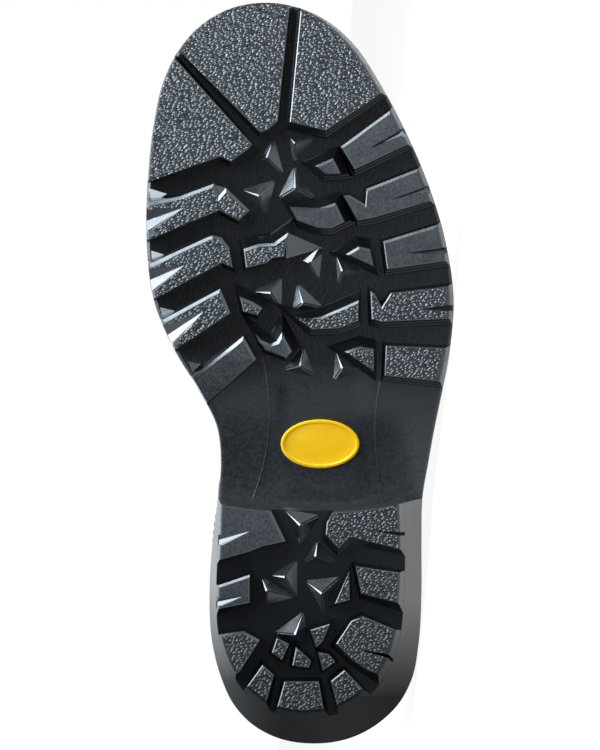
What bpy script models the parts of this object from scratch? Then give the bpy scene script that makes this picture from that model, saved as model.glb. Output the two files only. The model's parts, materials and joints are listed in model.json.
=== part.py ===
"""A left logger boot, lying on its outer side.

Boot frame, used by every function: x runs from the back of the heel to the toe, y to the outer side and
z up from the ground, with heel and forefoot standing on z = 0. Sizes and tables are in millimetres.
The whole boot is turned on to its side at the end.
"""

import math
from collections import namedtuple

import bmesh
import bpy
import numpy as np
from mathutils import Matrix, Vector

MM = 0.001

# Sole: overall sizes
SOLE_LENGTH = 292.8
LUG_HEIGHT = 8.0
SHEET = 5.5
TOE_SPRING = 9.0
SPRING_START = 205.0
ARCH_START = 152.0
ARCH_RISE = 26.0
BREAST = 98.0
SEAT_RISE = 4.0
BREAST_SAG = 3.0
GAP = 0.3

# Sole: tread details
LUG_SETBACK = 0.6
LUG_DRAFT = 1.2
LUG_SINK = 0.7
STUD_DEPTH = 1.6
HEEL_SETBACK = 0.2

# Welt, insole and badge
WELT = 4.0
WELT_SETBACK = 1.0
WELT_REACH = 4.6
INSOLE = 6.5
BADGE_LENGTH = 19.5
BADGE_WIDTH = 31.0
BADGE_AT = (119.2, 2.0)
BADGE_PROUD = 1.0

# Upper: leather and openings
FORE_MARGIN = 7.5
WAIST_MARGIN = 6.0
HEEL_MARGIN = 6.0
WALL = 1.8
OVERLAP_STEP = 1.1
FACING = 1.4
BULGE = 1.02
THROAT_GAP = 15.0
SEAM_ROW = 8.0
HEEL_ROW = 13.0
COLLAR_ROW = 20.0
TONGUE = 3.0
TONGUE_REACH = 28.0
TONGUE_CLEAR = 2.5

# Lacing
EYELET_PAIRS = 7
EYELET_OUT = 4.6
EYELET_HOLE = 2.5
EYELET_TALL = 1.2
EYELET_INSET = 9.0
EYELET_CLEAR = 1.3
LACE_CLEAR = 0.9
LACE = 3.6

# Edge of the outsole, from the back of the heel to the toe
Edge = namedtuple("Edge", "station inner outer")
SOLE_EDGE = (
    Edge(0.0, -0.3, -0.3),
    Edge(2.5, -15.5, 15.0),
    Edge(8.0, -25.3, 25.2),
    Edge(16.0, -32.5, 33.4),
    Edge(26.0, -37.1, 38.6),
    Edge(40.0, -40.7, 41.2),
    Edge(60.0, -41.8, 42.3),
    Edge(80.0, -40.6, 42.3),
    Edge(98.0, -38.4, 42.7),
    Edge(112.0, -37.2, 44.9),
    Edge(126.0, -38.6, 47.2),
    Edge(140.0, -45.3, 49.9),
    Edge(156.0, -55.0, 52.8),
    Edge(175.0, -63.0, 54.3),
    Edge(199.0, -66.0, 51.1),
    Edge(222.0, -65.6, 44.1),
    Edge(245.0, -63.3, 34.0),
    Edge(262.0, -59.4, 24.8),
    Edge(275.0, -52.9, 16.3),
    Edge(284.0, -44.6, 7.0),
    Edge(290.0, -34.5, -4.0),
    Edge(292.8, -19.4, -19.4),
)

# Edge of the heel where it meets the ground, from its back to its breast
HEEL_EDGE = (
    Edge(14.8, -4.7, -4.7),
    Edge(16.0, -13.0, 5.0),
    Edge(19.0, -19.5, 12.5),
    Edge(25.0, -27.0, 20.5),
    Edge(33.0, -32.5, 26.5),
    Edge(45.0, -36.8, 31.0),
    Edge(60.0, -37.8, 32.6),
    Edge(78.0, -37.3, 33.2),
    Edge(96.0, -36.8, 32.6),
)

# Lugs: corners are (station, side). One that runs out to the edge starts and ends there. A sipe is the
# slit in such a lug, from its mouth in the edge to its tip. Fade is the height left at the heel end.
Sipe = namedtuple("Sipe", "mouth tip width")
Lug = namedtuple("Lug", "label runs_out corners sipe fade", defaults=(None, None))
FOREFOOT_LUGS = (
    Lug("toe inner", True, ((269.5, -55), (236.5, -24.5), (234.5, -26), (229.5, -33), (231.5, -37),
                            (222, -65.5))),
    Lug("toe middle", True, ((290, -10), (245.5, -14.5), (242, -18.5), (241, -21.5), (272.5, -53))),
    Lug("toe outer", True, ((257, 28.5), (241.5, 4), (245, -10), (290, -5.5))),
    Lug("outer 1", True, ((250, 31), (235.5, 10), (226.5, 15.5), (236.5, 38)),
        Sipe((241.5, 35.5), (235, 21.5), 1.8)),
    Lug("outer 2", True, ((227, 42), (219, 20), (213, 19.5), (216.5, 13.5), (216.5, 11), (206.5, 16.5),
                          (207.5, 22.5), (214.5, 46)), Sipe((219, 45), (215, 32.5), 1.8)),
    Lug("outer 3", True, ((205, 49), (198.5, 26.5), (187.5, 28), (191, 52.5)),
        Sipe((195, 51.5), (194, 38), 1.6)),
    Lug("outer 4", True, ((181, 54), (178.5, 29.5), (173, 26), (178, 23.5), (179.5, 21.5), (168, 22),
                          (167, 25.5), (168, 54)), Sipe((172, 54), (172, 41.5), 1.6)),
    Lug("outer 5", True, ((156.5, 53), (158, 27.5), (146, 27), (145, 37), (143.5, 50.5))),
    Lug("second outer 1", False, ((228, 0), (231, 7), (225, 10), (224.5, 4))),
    Lug("second outer 2", False, ((212, -10), (211.5, 1.5), (213.5, 8), (206, 11.5), (203.5, 6.5),
                                  (203.5, 1), (206.5, -7))),
    Lug("second outer 3", False, ((193.5, 12), (196.5, 17), (195.5, 21.5), (188.5, 23))),
    Lug("second outer 4", False, ((170, -9), (168, -5), (169, 2), (172, 9), (175.5, 17), (167.5, 17),
                                  (164.5, 9.5), (164, -1.5))),
    Lug("second outer 5", False, ((155.5, 11.5), (157.5, 17.5), (156.5, 23), (147.5, 23))),
    Lug("inner 1", True, ((211, -66), (216, -53), (221, -39.5), (216.5, -37.5), (221.5, -36.5),
                          (210.5, -25.5), (206.5, -30), (210.5, -37.5), (198.5, -66)),
        Sipe((204, -66), (211.5, -51.5), 4.6)),
    Lug("inner 2", True, ((187, -65.5), (201, -40), (200, -36.5), (196, -33.5), (188, -32), (190, -36.5),
                          (175.5, -63.5)), Sipe((181, -64), (189, -51), 4.2)),
    Lug("inner 3", True, ((165.5, -59.5), (180, -37), (170.5, -33), (155.5, -55)),
        Sipe((159.5, -57), (170.5, -43.5), 3.4)),
    Lug("inner 4", True, ((145, -48), (161.5, -28), (152.5, -23), (135, -43)), None, 2.0),
    Lug("second inner 2", False, ((195.5, -28), (197.5, -22), (198, -16), (202, -10.5), (192.5, -12),
                                  (192, -16.5), (190, -19), (188, -27))),
    Lug("second inner 3", False, ((177, -29.5), (175, -24.5), (172.5, -20.5), (169.5, -22.5), (171, -28))),
    Lug("second inner 4", False, ((164, -24.5), (160, -21), (158.5, -17.5), (159.5, -15), (163, -13),
                                  (155.5, -9), (153, -11.5), (156, -19.5))),
)
HEEL_LUGS = (
    Lug("heel inner 1", True, ((94, -17), (81.5, -11.5), (79.5, -20.5), (77.5, -25.5), (74.5, -37)),
        Sipe((82, -37), (85.5, -25.5), 3.6)),
    Lug("heel inner 2", True, ((64.5, -37.5), (68.5, -25.5), (57.5, -25.5), (55, -37.5)),
        Sipe((58, -37.5), (60, -28.5), 3.2)),
    Lug("heel inner 3", True, ((45, -37), (46.5, -28), (43, -21.5), (30.5, -29.5), (30.5, -31.5))),
    Lug("heel back 1", True, ((25, -27), (33.5, -20.5), (29.5, -16), (19, -19))),
    Lug("heel back 2", True, ((16, -15), (27, -12), (27, 1.5), (15.5, 3.5))),
    Lug("heel back 3", True, ((17, 8.5), (27, 6), (31.5, 11.5), (24, 19))),
    Lug("heel outer 3", True, ((29.5, 24.5), (31, 20.5), (35, 14.5), (41.5, 8), (50.5, 14), (52.5, 18.5),
                               (47, 31.5)), Sipe((37, 28.5), (39.5, 16.5), 1.8)),
    Lug("heel outer 2", True, ((57.5, 32.5), (61, 18), (72, 15.5), (69.5, 33))),
    Lug("heel outer 1", True, ((78.5, 33), (81, 21.5), (83, 13.5), (78.5, 9), (84, 4), (89, 4.5),
                               (92.5, 6.5)), Sipe((84.5, 33), (85.5, 23.5), 1.8)),
    Lug("heel stud 1", False, ((70.5, 13.5), (57, 7.5), (58.5, 13.5))),
    Lug("heel stud 2", False, ((47, -2), (49.5, 6), (42.5, 3), (40, 0.5))),
    Lug("heel stud 3", False, ((44, -15), (41.5, -10), (35, -13), (38, -17))),
    Lug("heel stud 4", False, ((40.5, -7.5), (35, -1.5), (32, -2.5), (33, -9))),
    Lug("heel stud 5", False, ((38.5, 1), (37.5, 5.5), (34.5, 8), (31, 3))),
)

# Three-sided pointed studs between the lugs: foot corners and point
Stud = namedtuple("Stud", "front side back point")
FOREFOOT_STUDS = (
    Stud((239, -16), (224.5, -12), (230.5, -22), (231.5, -19)),
    Stud((239.5, -10), (239.5, 0), (229.5, -8.5), (237, -8)),
    Stud((228.5, -8), (215.5, -14.5), (215, 0.5), (219.5, -8)),
    Stud((219, -29), (223, -15.5), (208.5, -19), (216.5, -22)),
    Stud((191.5, -5.5), (195, 3), (183.5, 1.5), (190.5, -2.5)),
    Stud((179, -24.5), (185, -13), (172, -13), (178.5, -17.5)),
    Stud((182.5, -7), (171.5, -9), (172.5, 4), (174.5, -5)),
    Stud((157.5, -4.5), (148.5, -12.5), (145.5, 0.5), (150, -6)),
    Stud((194, 8), (182, 9), (186.5, 19), (187, 10.5)),
    Stud((156, 8), (144, 7), (148.5, 19), (149, 10.5)),
    Stud((201, -9.5), (196, 1.5), (193, -11), (196.5, -9.5)),
)
HEEL_STUDS = (
    Stud((82, 1), (73, -4.5), (72.5, 8.5), (75.5, 0)),
    Stud((68, -17.5), (74.5, -7), (59, -7), (67.5, -12)),
    Stud((66, -4), (67.5, 10), (53, 3.5), (61, 2.5)),
    Stud((54, -4.5), (45.5, -16), (39.5, -2), (45, -8)),
    Stud((67.5, -21), (59.5, -7.5), (56.5, -19), (62, -19)),
)

# Sections of the upper from toe to collar. Each runs from a point low or at the back to one on the front
# line. Up to the heel row the low point stands on the sole; breadth is then at least that of the sole.
Section = namedtuple("Section", "label low_x low_z front_x front_z breadth ridge square")
SECTIONS = (
    Section("toe tip", 285.3, 0.0, 285.3, 25.6, 0.0, -19.4, 0.80),
    Section("toe wall", 283.9, 0.0, 283.7, 42.0, 0.0, -19.5, 0.76),
    Section("toe shoulder", 279.5, 0.0, 278.5, 56.0, 0.0, -19.6, 0.72),
    Section("toe top", 272.0, 0.0, 269.5, 63.0, 0.0, -19.5, 0.70),
    Section("toe box", 261.0, 0.0, 257.5, 67.5, 0.0, -18.5, 0.70),
    Section("toe break", 246.0, 0.0, 243.0, 71.5, 0.0, -16.5, 0.72),
    Section("vamp", 226.0, 0.0, 227.0, 76.5, 0.0, -13.0, 0.76),
    Section("ball", 200.0, 0.0, 213.0, 85.0, 0.0, -9.5, 0.80),
    Section("throat", 168.0, 0.0, 199.0, 95.0, 0.0, -6.5, 0.82),
    Section("waist", 128.0, 0.0, 182.5, 108.5, 39.5, -1.5, 0.84),
    Section("instep", 90.0, 0.0, 167.0, 122.5, 36.5, -0.2, 0.86),
    Section("seat", 52.0, 0.0, 155.0, 137.0, 36.0, 0.0, 0.86),
    Section("heel turn", 20.0, 0.0, 147.0, 151.0, 36.0, 0.0, 0.86),
    Section("heel back", 4.0, 0.0, 141.5, 164.5, 36.3, 0.0, 0.86),
    Section("heel swell", 1.8, 72.0, 138.0, 177.5, 37.0, -0.5, 0.86),
    Section("heel top", 2.2, 98.0, 135.5, 190.5, 37.5, -0.5, 0.87),
    Section("tendon", 7.5, 125.0, 133.5, 203.5, 38.5, -0.5, 0.88),
    Section("ankle", 10.5, 152.0, 132.0, 216.5, 39.5, -0.5, 0.89),
    Section("shaft", 9.5, 182.0, 131.0, 229.5, 40.5, -0.5, 0.90),
    Section("calf", 6.5, 212.0, 131.0, 243.0, 41.5, -0.5, 0.90),
    Section("collar", 3.0, 246.0, 131.5, 258.0, 42.5, -0.5, 0.90),
    Section("tongue top", 2.0, 258.0, 132.5, 269.0, 42.8, -0.5, 0.90),
)

# Height of the heel counter as a share of each section's rise
Patch = namedtuple("Patch", "row share")
COUNTER = (
    Patch(9.67, 0.06),
    Patch(10.0, 0.17),
    Patch(10.5, 0.24),
    Patch(11.0, 0.27),
    Patch(12.0, 0.30),
    Patch(13.0, 0.31),
    Patch(14.0, 0.22),
    Patch(15.0, 0.13),
    Patch(16.0, 0.035),
)

Finish = namedtuple("Finish", "colour roughness metallic")
RUBBER = Finish((0.022, 0.024, 0.027), 0.55, 0.0)
AMBER = Finish((0.85, 0.45, 0.02), 0.45, 0.0)
LEATHER = Finish((0.030, 0.027, 0.025), 0.50, 0.0)
FACING_LEATHER = Finish((0.036, 0.032, 0.029), 0.48, 0.0)
BOARD = Finish((0.42, 0.27, 0.15), 0.75, 0.0)
BRASS = Finish((0.55, 0.42, 0.20), 0.35, 1.0)
CORD = Finish((0.045, 0.040, 0.034), 0.85, 0.0)

TOP_OF_SHEET = LUG_HEIGHT + SHEET
FEATHER = TOP_OF_SHEET + GAP + WELT + 2.5 * GAP
OVERLAY_AT = OVERLAP_STEP + 2.5 * GAP


# Curves and heights

def smooth_step(share):
    share = np.clip(share, 0.0, 1.0)
    return share * share * (3.0 - 2.0 * share)


def lift(x):
    """How far the sole is bent up from flat at a station: toe spring, arch and heel seat."""
    x = np.asarray(x, float)
    spring = np.clip((x - SPRING_START) / (SOLE_LENGTH - SPRING_START), 0.0, 1.1) ** 2
    arch = smooth_step((ARCH_START - x) / (ARCH_START - BREAST + 4.0))
    seat = np.clip((BREAST - x) / BREAST, 0.0, 1.1)
    return TOE_SPRING * spring + ARCH_RISE * arch + SEAT_RISE * seat


def smooth_through(points, closed, per_span=20):
    """A dense smooth line through points, passing each at a whole number of steps."""
    p = np.array(points, float)
    before = np.roll(p, 1, axis=0)
    after = np.roll(p, -1, axis=0)
    if not closed:
        before[0] = 2 * p[0] - p[1]
        after[-1] = 2 * p[-1] - p[-2]
    back = np.linalg.norm(p - before, axis=1)[:, None]
    ahead = np.linalg.norm(after - p, axis=1)[:, None]
    slope = ((p - before) / back * ahead + (after - p) / ahead * back) / (back + ahead)
    last = len(p) if closed else len(p) - 1
    line = []
    for i in range(last):
        j = (i + 1) % len(p)
        f = np.linspace(0.0, 1.0, per_span, endpoint=False)[:, None]
        start = (1 + 2 * f) * (1 - f) ** 2 * p[i] + f * (1 - f) ** 2 * slope[i] * ahead[i]
        end = f * f * (3 - 2 * f) * p[j] + f * f * (f - 1) * slope[j] * ahead[i]
        line.append(start + end)
    if not closed:
        line.append(p[-1:])
    return np.concatenate(line)


def even_steps(line, count):
    """The same line in equal steps."""
    along = np.concatenate([[0.0], np.cumsum(np.linalg.norm(np.diff(line, axis=0), axis=1))])
    at = np.linspace(0.0, along[-1], count + 1)
    return np.stack([np.interp(at, along, line[:, k]) for k in range(line.shape[1])], axis=1)


def sole_sides(margin, count):
    """Inner and outer edge of the sole from heel to toe, drawn in by a margin."""
    inner = [(row.station, row.inner) for row in SOLE_EDGE]
    outer = [(row.station, row.outer) for row in SOLE_EDGE[-2:0:-1]]
    per_span = 20
    loop = smooth_through(inner + outer, True, per_span)
    along = np.roll(loop, -1, axis=0) - np.roll(loop, 1, axis=0)
    along /= np.linalg.norm(along, axis=1)[:, None]
    inward = np.stack([-along[:, 1], along[:, 0]], axis=1)
    depth = margin(loop[:, 0]) if callable(margin) else np.full(len(loop), margin)
    loop = loop + inward * depth[:, None]
    toe = (len(SOLE_EDGE) - 1) * per_span
    outer_side = np.concatenate([loop[toe:], loop[:1]])[::-1]
    return even_steps(loop[: toe + 1], count), even_steps(outer_side, count)


def feather_margin(x):
    """How far the welt stands out from the upper at a station."""
    fore = smooth_step((x - 110.0) / 70.0)
    seat = smooth_step((90.0 - x) / 60.0)
    return WAIST_MARGIN + (FORE_MARGIN - WAIST_MARGIN) * fore + (HEEL_MARGIN - WAIST_MARGIN) * seat


def heel_side(column, count):
    """One edge of the heel on the ground and the seat edge above it, both from back to breast."""
    ground = smooth_through([(row.station, getattr(row, column)) for row in HEEL_EDGE], False)
    inner, outer = sole_sides(0.0, 600)
    seat = inner if column == "inner" else outer
    seat = seat[seat[:, 0] <= BREAST]
    return even_steps(ground, count), even_steps(seat, count)


def heel_outline(height, count, setback=0.0):
    """Inner and outer edge of the heel at a height above the ground."""
    sides = []
    for column, away in (("inner", 1.0), ("outer", -1.0)):
        ground, seat = heel_side(column, count)
        share = height / (LUG_HEIGHT + lift(seat[:, :1]))
        line = ground + (seat - ground) * share
        along = np.gradient(line, axis=0)
        along /= np.linalg.norm(along, axis=1)[:, None]
        line = line + away * setback * np.stack([-along[:, 1], along[:, 0]], axis=1)
        sides.append(line)
    return sides


# Mesh helpers

def new_object(name, bm, finish, smooth_angle=None):
    """Turns a mesh in millimetres into a named object with its own material."""
    bmesh.ops.scale(bm, vec=(MM, MM, MM), verts=bm.verts)
    mesh = bpy.data.meshes.new(name)
    bm.to_mesh(mesh)
    bm.free()
    if smooth_angle is not None:
        mesh.shade_smooth()
        mesh.set_sharp_from_angle(angle=math.radians(smooth_angle))
    obj = bpy.data.objects.new(name, mesh)
    bpy.context.scene.collection.objects.link(obj)
    material = bpy.data.materials.new(name)
    material.use_nodes = True
    shader = material.node_tree.nodes["Principled BSDF"]
    shader.inputs["Base Color"].default_value = (*finish.colour, 1.0)
    shader.inputs["Roughness"].default_value = finish.roughness
    shader.inputs["Metallic"].default_value = finish.metallic
    mesh.materials.append(material)
    return obj


def join(obj, helper):
    """Adds a helper's solid to an object."""
    helper.hide_render = True
    helper.display_type = "WIRE"
    union = obj.modifiers.new("join " + helper.name, "BOOLEAN")
    union.operation = "UNION"
    union.solver = "EXACT"
    union.use_self = True
    union.object = helper


def grid_solid(low, high):
    """Closed mesh between two grids of points: rows along the boot, columns across it."""
    bm = bmesh.new()
    below = [[bm.verts.new(p) for p in row] for row in low]
    above = [[bm.verts.new(p) for p in row] for row in high]
    rows = len(below)
    columns = len(below[0])
    for i in range(rows - 1):
        for j in range(columns - 1):
            bm.faces.new((above[i][j], above[i + 1][j], above[i + 1][j + 1], above[i][j + 1]))
            bm.faces.new((below[i][j], below[i][j + 1], below[i + 1][j + 1], below[i + 1][j]))
        for j in (0, columns - 1):
            bm.faces.new((below[i][j], below[i + 1][j], above[i + 1][j], above[i][j]))
    for i in (0, rows - 1):
        for j in range(columns - 1):
            bm.faces.new((below[i][j], below[i][j + 1], above[i][j + 1], above[i][j]))
    bmesh.ops.remove_doubles(bm, verts=bm.verts, dist=0.005)
    bmesh.ops.recalc_face_normals(bm, faces=bm.faces)
    return bm


def bent_grid(inner, outer, level, columns=1):
    """Points across a layer between two edges, lifted with the sole."""
    share = np.linspace(0.0, 1.0, columns + 1)[None, :, None]
    flat = inner[:, None, :] * (1 - share) + outer[:, None, :] * share
    height = level + lift(flat[..., 0])
    return np.concatenate([flat, height[..., None]], axis=2)


# Tread

def signed_area(ring):
    x, y = np.array(ring).T
    return 0.5 * float(np.sum(x * np.roll(y, -1) - y * np.roll(x, -1)))


def nearest(border, point):
    return int(np.argmin(np.linalg.norm(border - np.array(point), axis=1)))


def lug_ring(lug, border, step):
    """Corners of a lug, and for each the border point it lies on, or None."""
    ring = [(np.array(corner, float), None) for corner in lug.corners]
    if not lug.runs_out:
        return ring
    size = len(border)
    pitch = np.linalg.norm(border[1] - border[0])
    start = nearest(border, lug.corners[-1])
    turn = (nearest(border, lug.corners[0]) - start + size // 2) % size - size // 2
    way = 1 if turn > 0 else -1
    stops = [start + way * k for k in range(abs(turn) + 1)]
    every = max(1, round(step / pitch))
    keep = sorted({0, abs(turn)} | set(range(0, abs(turn) - every // 2, every)))
    ring = ring[1:-1]
    mouth = None
    if lug.sipe:
        middle = (nearest(border, lug.sipe.mouth) - start) * way % size
        half = lug.sipe.width / 2 / pitch
        mouth = (round(middle - half), round(middle + half))
        keep = [k for k in keep if abs(k - middle) > half + 1]
        keep = sorted(keep + list(mouth))
    for k in keep:
        at = stops[k] % size
        ring.append((border[at], at))
        if mouth and k == mouth[0]:
            ring.append((np.array(lug.sipe.tip, float), None))
    return ring


def spread(ring, flare):
    """Corners moved out, each side of the ring by its own draft."""
    points = np.array([p for p, _ in ring])
    along = np.roll(points, -1, axis=0) - points
    along /= np.linalg.norm(along, axis=1)[:, None]
    out = np.stack([along[:, 1], -along[:, 0]], axis=1)
    draft = np.full(len(ring), LUG_DRAFT)
    for i, (_, at) in enumerate(ring):
        beyond = ring[(i + 1) % len(ring)][1]
        if at is not None and beyond is not None:
            draft[i] = float(flare[at] @ out[i])
    moved = []
    for i, point in enumerate(points):
        a = out[i - 1]
        b = out[i]
        cross = a[0] * b[1] - a[1] * b[0]
        if abs(cross) < 0.05:
            shift = (a * draft[i - 1] + b * draft[i]) / 2
        else:
            ahead = draft[i - 1] * b[1] - draft[i] * a[1]
            aside = draft[i] * a[0] - draft[i - 1] * b[0]
            shift = np.array([ahead, aside]) / cross
        size = np.linalg.norm(shift)
        moved.append(point + shift * min(1.0, 9.0 / max(size, 1e-9)))
    return np.array(moved)


def add_lug(bm, lug, border, flare):
    """A drafted block from the walking face up into the sheet."""
    ring = lug_ring(lug, border, 6.0)
    if signed_area([p for p, _ in ring]) < 0:
        ring = ring[::-1]
    face = np.array([p for p, _ in ring])
    foot = spread(ring, flare)
    foot = face + (foot - face) * (LUG_HEIGHT + LUG_SINK) / LUG_HEIGHT
    height = np.zeros(len(face))
    if lug.fade is not None:
        front = (face[:, 0] - face[:, 0].min()) / np.ptp(face[:, 0])
        height = (LUG_HEIGHT - lug.fade) * smooth_step((0.75 - front) / 0.6)
    low = [bm.verts.new((*p, z)) for p, z in zip(face, height)]
    high = [bm.verts.new((*p, LUG_HEIGHT + LUG_SINK)) for p in foot]
    bm.faces.new(low[::-1])
    bm.faces.new(high)
    for i in range(len(low)):
        j = (i + 1) % len(low)
        bm.faces.new((low[i], low[j], high[j], high[i]))


def add_stud(bm, stud):
    """A three-sided point standing on the groove floor."""
    foot = np.array(stud[:3], float)
    if signed_area(foot) < 0:
        foot = foot[::-1]
    point = np.array(stud.point, float)
    reach = (LUG_HEIGHT + LUG_SINK - STUD_DEPTH) / (LUG_HEIGHT - STUD_DEPTH)
    foot = point + (foot - point) * reach
    high = [bm.verts.new((*p, LUG_HEIGHT + LUG_SINK)) for p in foot]
    tip = bm.verts.new((*point, STUD_DEPTH))
    bm.faces.new(high)
    for i in range(3):
        bm.faces.new((high[i - 1], tip, high[i]))


def tread(lugs, studs, border, flare, cuts):
    """All lugs and studs of one moulding, sliced where the sole bends."""
    bm = bmesh.new()
    for lug in lugs:
        add_lug(bm, lug, border, flare)
    for stud in studs:
        add_stud(bm, stud)
    for x in cuts:
        geometry = bm.verts[:] + bm.edges[:] + bm.faces[:]
        bmesh.ops.bisect_plane(bm, geom=geometry, plane_co=(x, 0, 0), plane_no=(1, 0, 0))
    bmesh.ops.triangulate(bm, faces=bm.faces)
    bmesh.ops.recalc_face_normals(bm, faces=bm.faces)
    return bm


def make_outsole():
    inner, outer = sole_sides(0.0, 56)
    sheet = grid_solid(bent_grid(inner, outer, LUG_HEIGHT), bent_grid(inner, outer, TOP_OF_SHEET))
    outsole = new_object("outsole", sheet, RUBBER)
    inner, outer = sole_sides(LUG_SETBACK, 640)
    border = np.concatenate([inner, outer[-2:0:-1]])
    lugs = tread(FOREFOOT_LUGS, FOREFOOT_STUDS, border, np.zeros_like(border), range(140, 292, 12))
    for vert in lugs.verts:
        vert.co.z += float(lift(vert.co.x))
    join(outsole, new_object("outsole_tread", lugs, RUBBER))
    return outsole


def heel_border(height):
    """Closed edge of the heel at a height, and the same count of points at every height."""
    inner, outer = heel_outline(height, 150, HEEL_SETBACK)
    across = np.linspace(0.0, 1.0, 90)[1:-1, None]
    front = inner[-1] * (1 - across) + outer[-1] * across
    front[:, 0] -= BREAST_SAG * (1 - (2 * across[:, 0] - 1) ** 2) + HEEL_SETBACK
    return np.concatenate([inner, front, outer[:0:-1]])


def make_heel():
    grids = []
    columns = 8
    for height in (LUG_HEIGHT, None):
        inner, outer = heel_outline(0.0 if height is None else height, 26)
        if height is None:
            inner = heel_side("inner", 26)[1]
            outer = heel_side("outer", 26)[1]
        grid = bent_grid(inner, outer, LUG_HEIGHT - GAP, columns)
        across = np.linspace(-1.0, 1.0, columns + 1)[None, :]
        near_breast = np.linspace(0.0, 1.0, len(inner))[:, None] ** 3
        grid[..., 0] -= BREAST_SAG * (1 - across ** 2) * near_breast
        grid[..., 2] = LUG_HEIGHT if height else LUG_HEIGHT - GAP + lift(grid[..., 0])
        grids.append(grid)
    heel = new_object("heel", grid_solid(*grids), RUBBER)
    border = heel_border(0.0)
    flare = heel_border(LUG_HEIGHT) - border
    join(heel, new_object("heel_tread", tread(HEEL_LUGS, HEEL_STUDS, border, flare, ()), RUBBER))
    return heel


def make_badge():
    turn = np.linspace(0.0, math.pi, 15)
    station = BADGE_AT[0] - BADGE_LENGTH / 2 * np.cos(turn)
    reach = BADGE_WIDTH / 2 * np.sin(turn)
    inner = np.stack([station, BADGE_AT[1] - reach], axis=1)
    outer = np.stack([station, BADGE_AT[1] + reach], axis=1)
    face = LUG_HEIGHT - GAP - BADGE_PROUD
    bm = grid_solid(bent_grid(inner, outer, face), bent_grid(inner, outer, LUG_HEIGHT - GAP))
    return new_object("badge", bm, AMBER)


# Welt and insole

def make_welt():
    edges = []
    for margin in (WELT_SETBACK, lambda x: feather_margin(x) + WELT_REACH):
        inner, outer = sole_sides(margin, 46)
        edges.append(np.concatenate([inner, outer[-2:0:-1]]))
    bm = bmesh.new()
    rings = []
    for edge, level in ((0, GAP / 2), (0, WELT), (1, WELT), (1, GAP / 2)):
        flat = edges[edge]
        height = TOP_OF_SHEET + GAP + level + lift(flat[:, 0])
        rings.append([bm.verts.new((*p, z)) for p, z in zip(flat, height)])
    for k in range(4):
        here = rings[k]
        there = rings[(k + 1) % 4]
        for i in range(len(here)):
            j = (i + 1) % len(here)
            bm.faces.new((here[i], here[j], there[j], there[i]))
    bmesh.ops.recalc_face_normals(bm, faces=bm.faces)
    return new_object("welt", bm, LEATHER)


def make_insole():
    inner, outer = sole_sides(lambda x: feather_margin(x) + WELT_REACH + GAP, 40)
    base = TOP_OF_SHEET + GAP
    bm = grid_solid(bent_grid(inner, outer, base), bent_grid(inner, outer, base + INSOLE))
    return new_object("insole", bm, BOARD)


# Upper and what is cut from its form

def feather_table():
    inner, outer = sole_sides(feather_margin, 900)
    return inner, outer


FEATHER_INNER, FEATHER_OUTER = feather_table()
ROWS = np.array([section[1:] for section in SECTIONS])


def at_row(rows):
    """Section sizes between the rows of the table, changing smoothly."""
    rows = np.asarray(rows, float)
    i = np.clip(np.floor(rows).astype(int), 0, len(ROWS) - 2)
    f = (rows - i)[:, None]
    before = ROWS[np.maximum(i - 1, 0)]
    here = ROWS[i]
    there = ROWS[i + 1]
    after = ROWS[np.minimum(i + 2, len(ROWS) - 1)]
    leave = (there - before) / 2
    arrive = (after - here) / 2
    start = (1 + 2 * f) * (1 - f) ** 2 * here + f * (1 - f) ** 2 * leave
    return start + f * f * (3 - 2 * f) * there + f * f * (f - 1) * arrive


def section_frame(rows):
    """Low point, front point, half breadths and fullness of each section."""
    low_x, low_z, front_x, front_z, breadth, ridge, square = at_row(rows).T
    on_sole = rows <= HEEL_ROW
    low_x = np.where(on_sole, np.clip(low_x, FEATHER_INNER[0, 0], FEATHER_INNER[-1, 0]), low_x)
    inner = np.interp(low_x, FEATHER_INNER[:, 0], FEATHER_INNER[:, 1])
    outer = np.interp(low_x, FEATHER_OUTER[:, 0], FEATHER_OUTER[:, 1])
    foot = np.where((rows > 0.001) & (rows < HEEL_ROW - 0.001), (outer - inner) / 2, 0.0)
    middle = np.where(on_sole, (outer + inner) / 2, FEATHER_INNER[0, 1])
    low_z = np.where(on_sole, FEATHER + lift(low_x), low_z)
    above = np.clip(rows - HEEL_ROW, 0.0, 1.0)
    swell = SECTIONS[int(HEEL_ROW) + 1]
    seat_x = FEATHER_INNER[0, 0]
    seat_z = FEATHER + float(lift(seat_x))
    in_swell = (rows > HEEL_ROW) & (above < 1.0)
    low_x = np.where(in_swell, seat_x + (swell.low_x - seat_x) * above ** 2, low_x)
    low_z = np.where(in_swell, seat_z + (swell.low_z - seat_z) * above, low_z)
    breadth = np.maximum(np.maximum(breadth, BULGE * foot), 0.001)
    return low_x, low_z, front_x, front_z, breadth, foot, middle, ridge, square


def first_turn(breadth, foot, square):
    """Angle at which a section leaves the sole: the wider it swells above, the further round it starts."""
    return -np.arccos(np.clip(foot / breadth, 0.0, 1.0) ** (1 / square))


def form(rows, spans, side):
    """Points of the upper's form, a line of them per row. Spans run from low point (0) to front (1)."""
    low_x, low_z, front_x, front_z, breadth, foot, middle, ridge, square = [
        v[:, None] for v in section_frame(np.asarray(rows, float))
    ]
    start = first_turn(breadth, foot, square)
    turn = start + spans * (math.pi / 2 - start)
    rise = (np.sin(turn) - np.sin(start)) / (1 - np.sin(start))
    reach = breadth * np.clip(np.cos(turn), 0.0, 1.0) ** square
    y = middle + (ridge - middle) * rise + side * reach
    x = low_x + (front_x - low_x) * rise
    z = low_z + (front_z - low_z) * rise
    return np.stack([x, np.broadcast_to(y, x.shape), z], axis=2)


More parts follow.
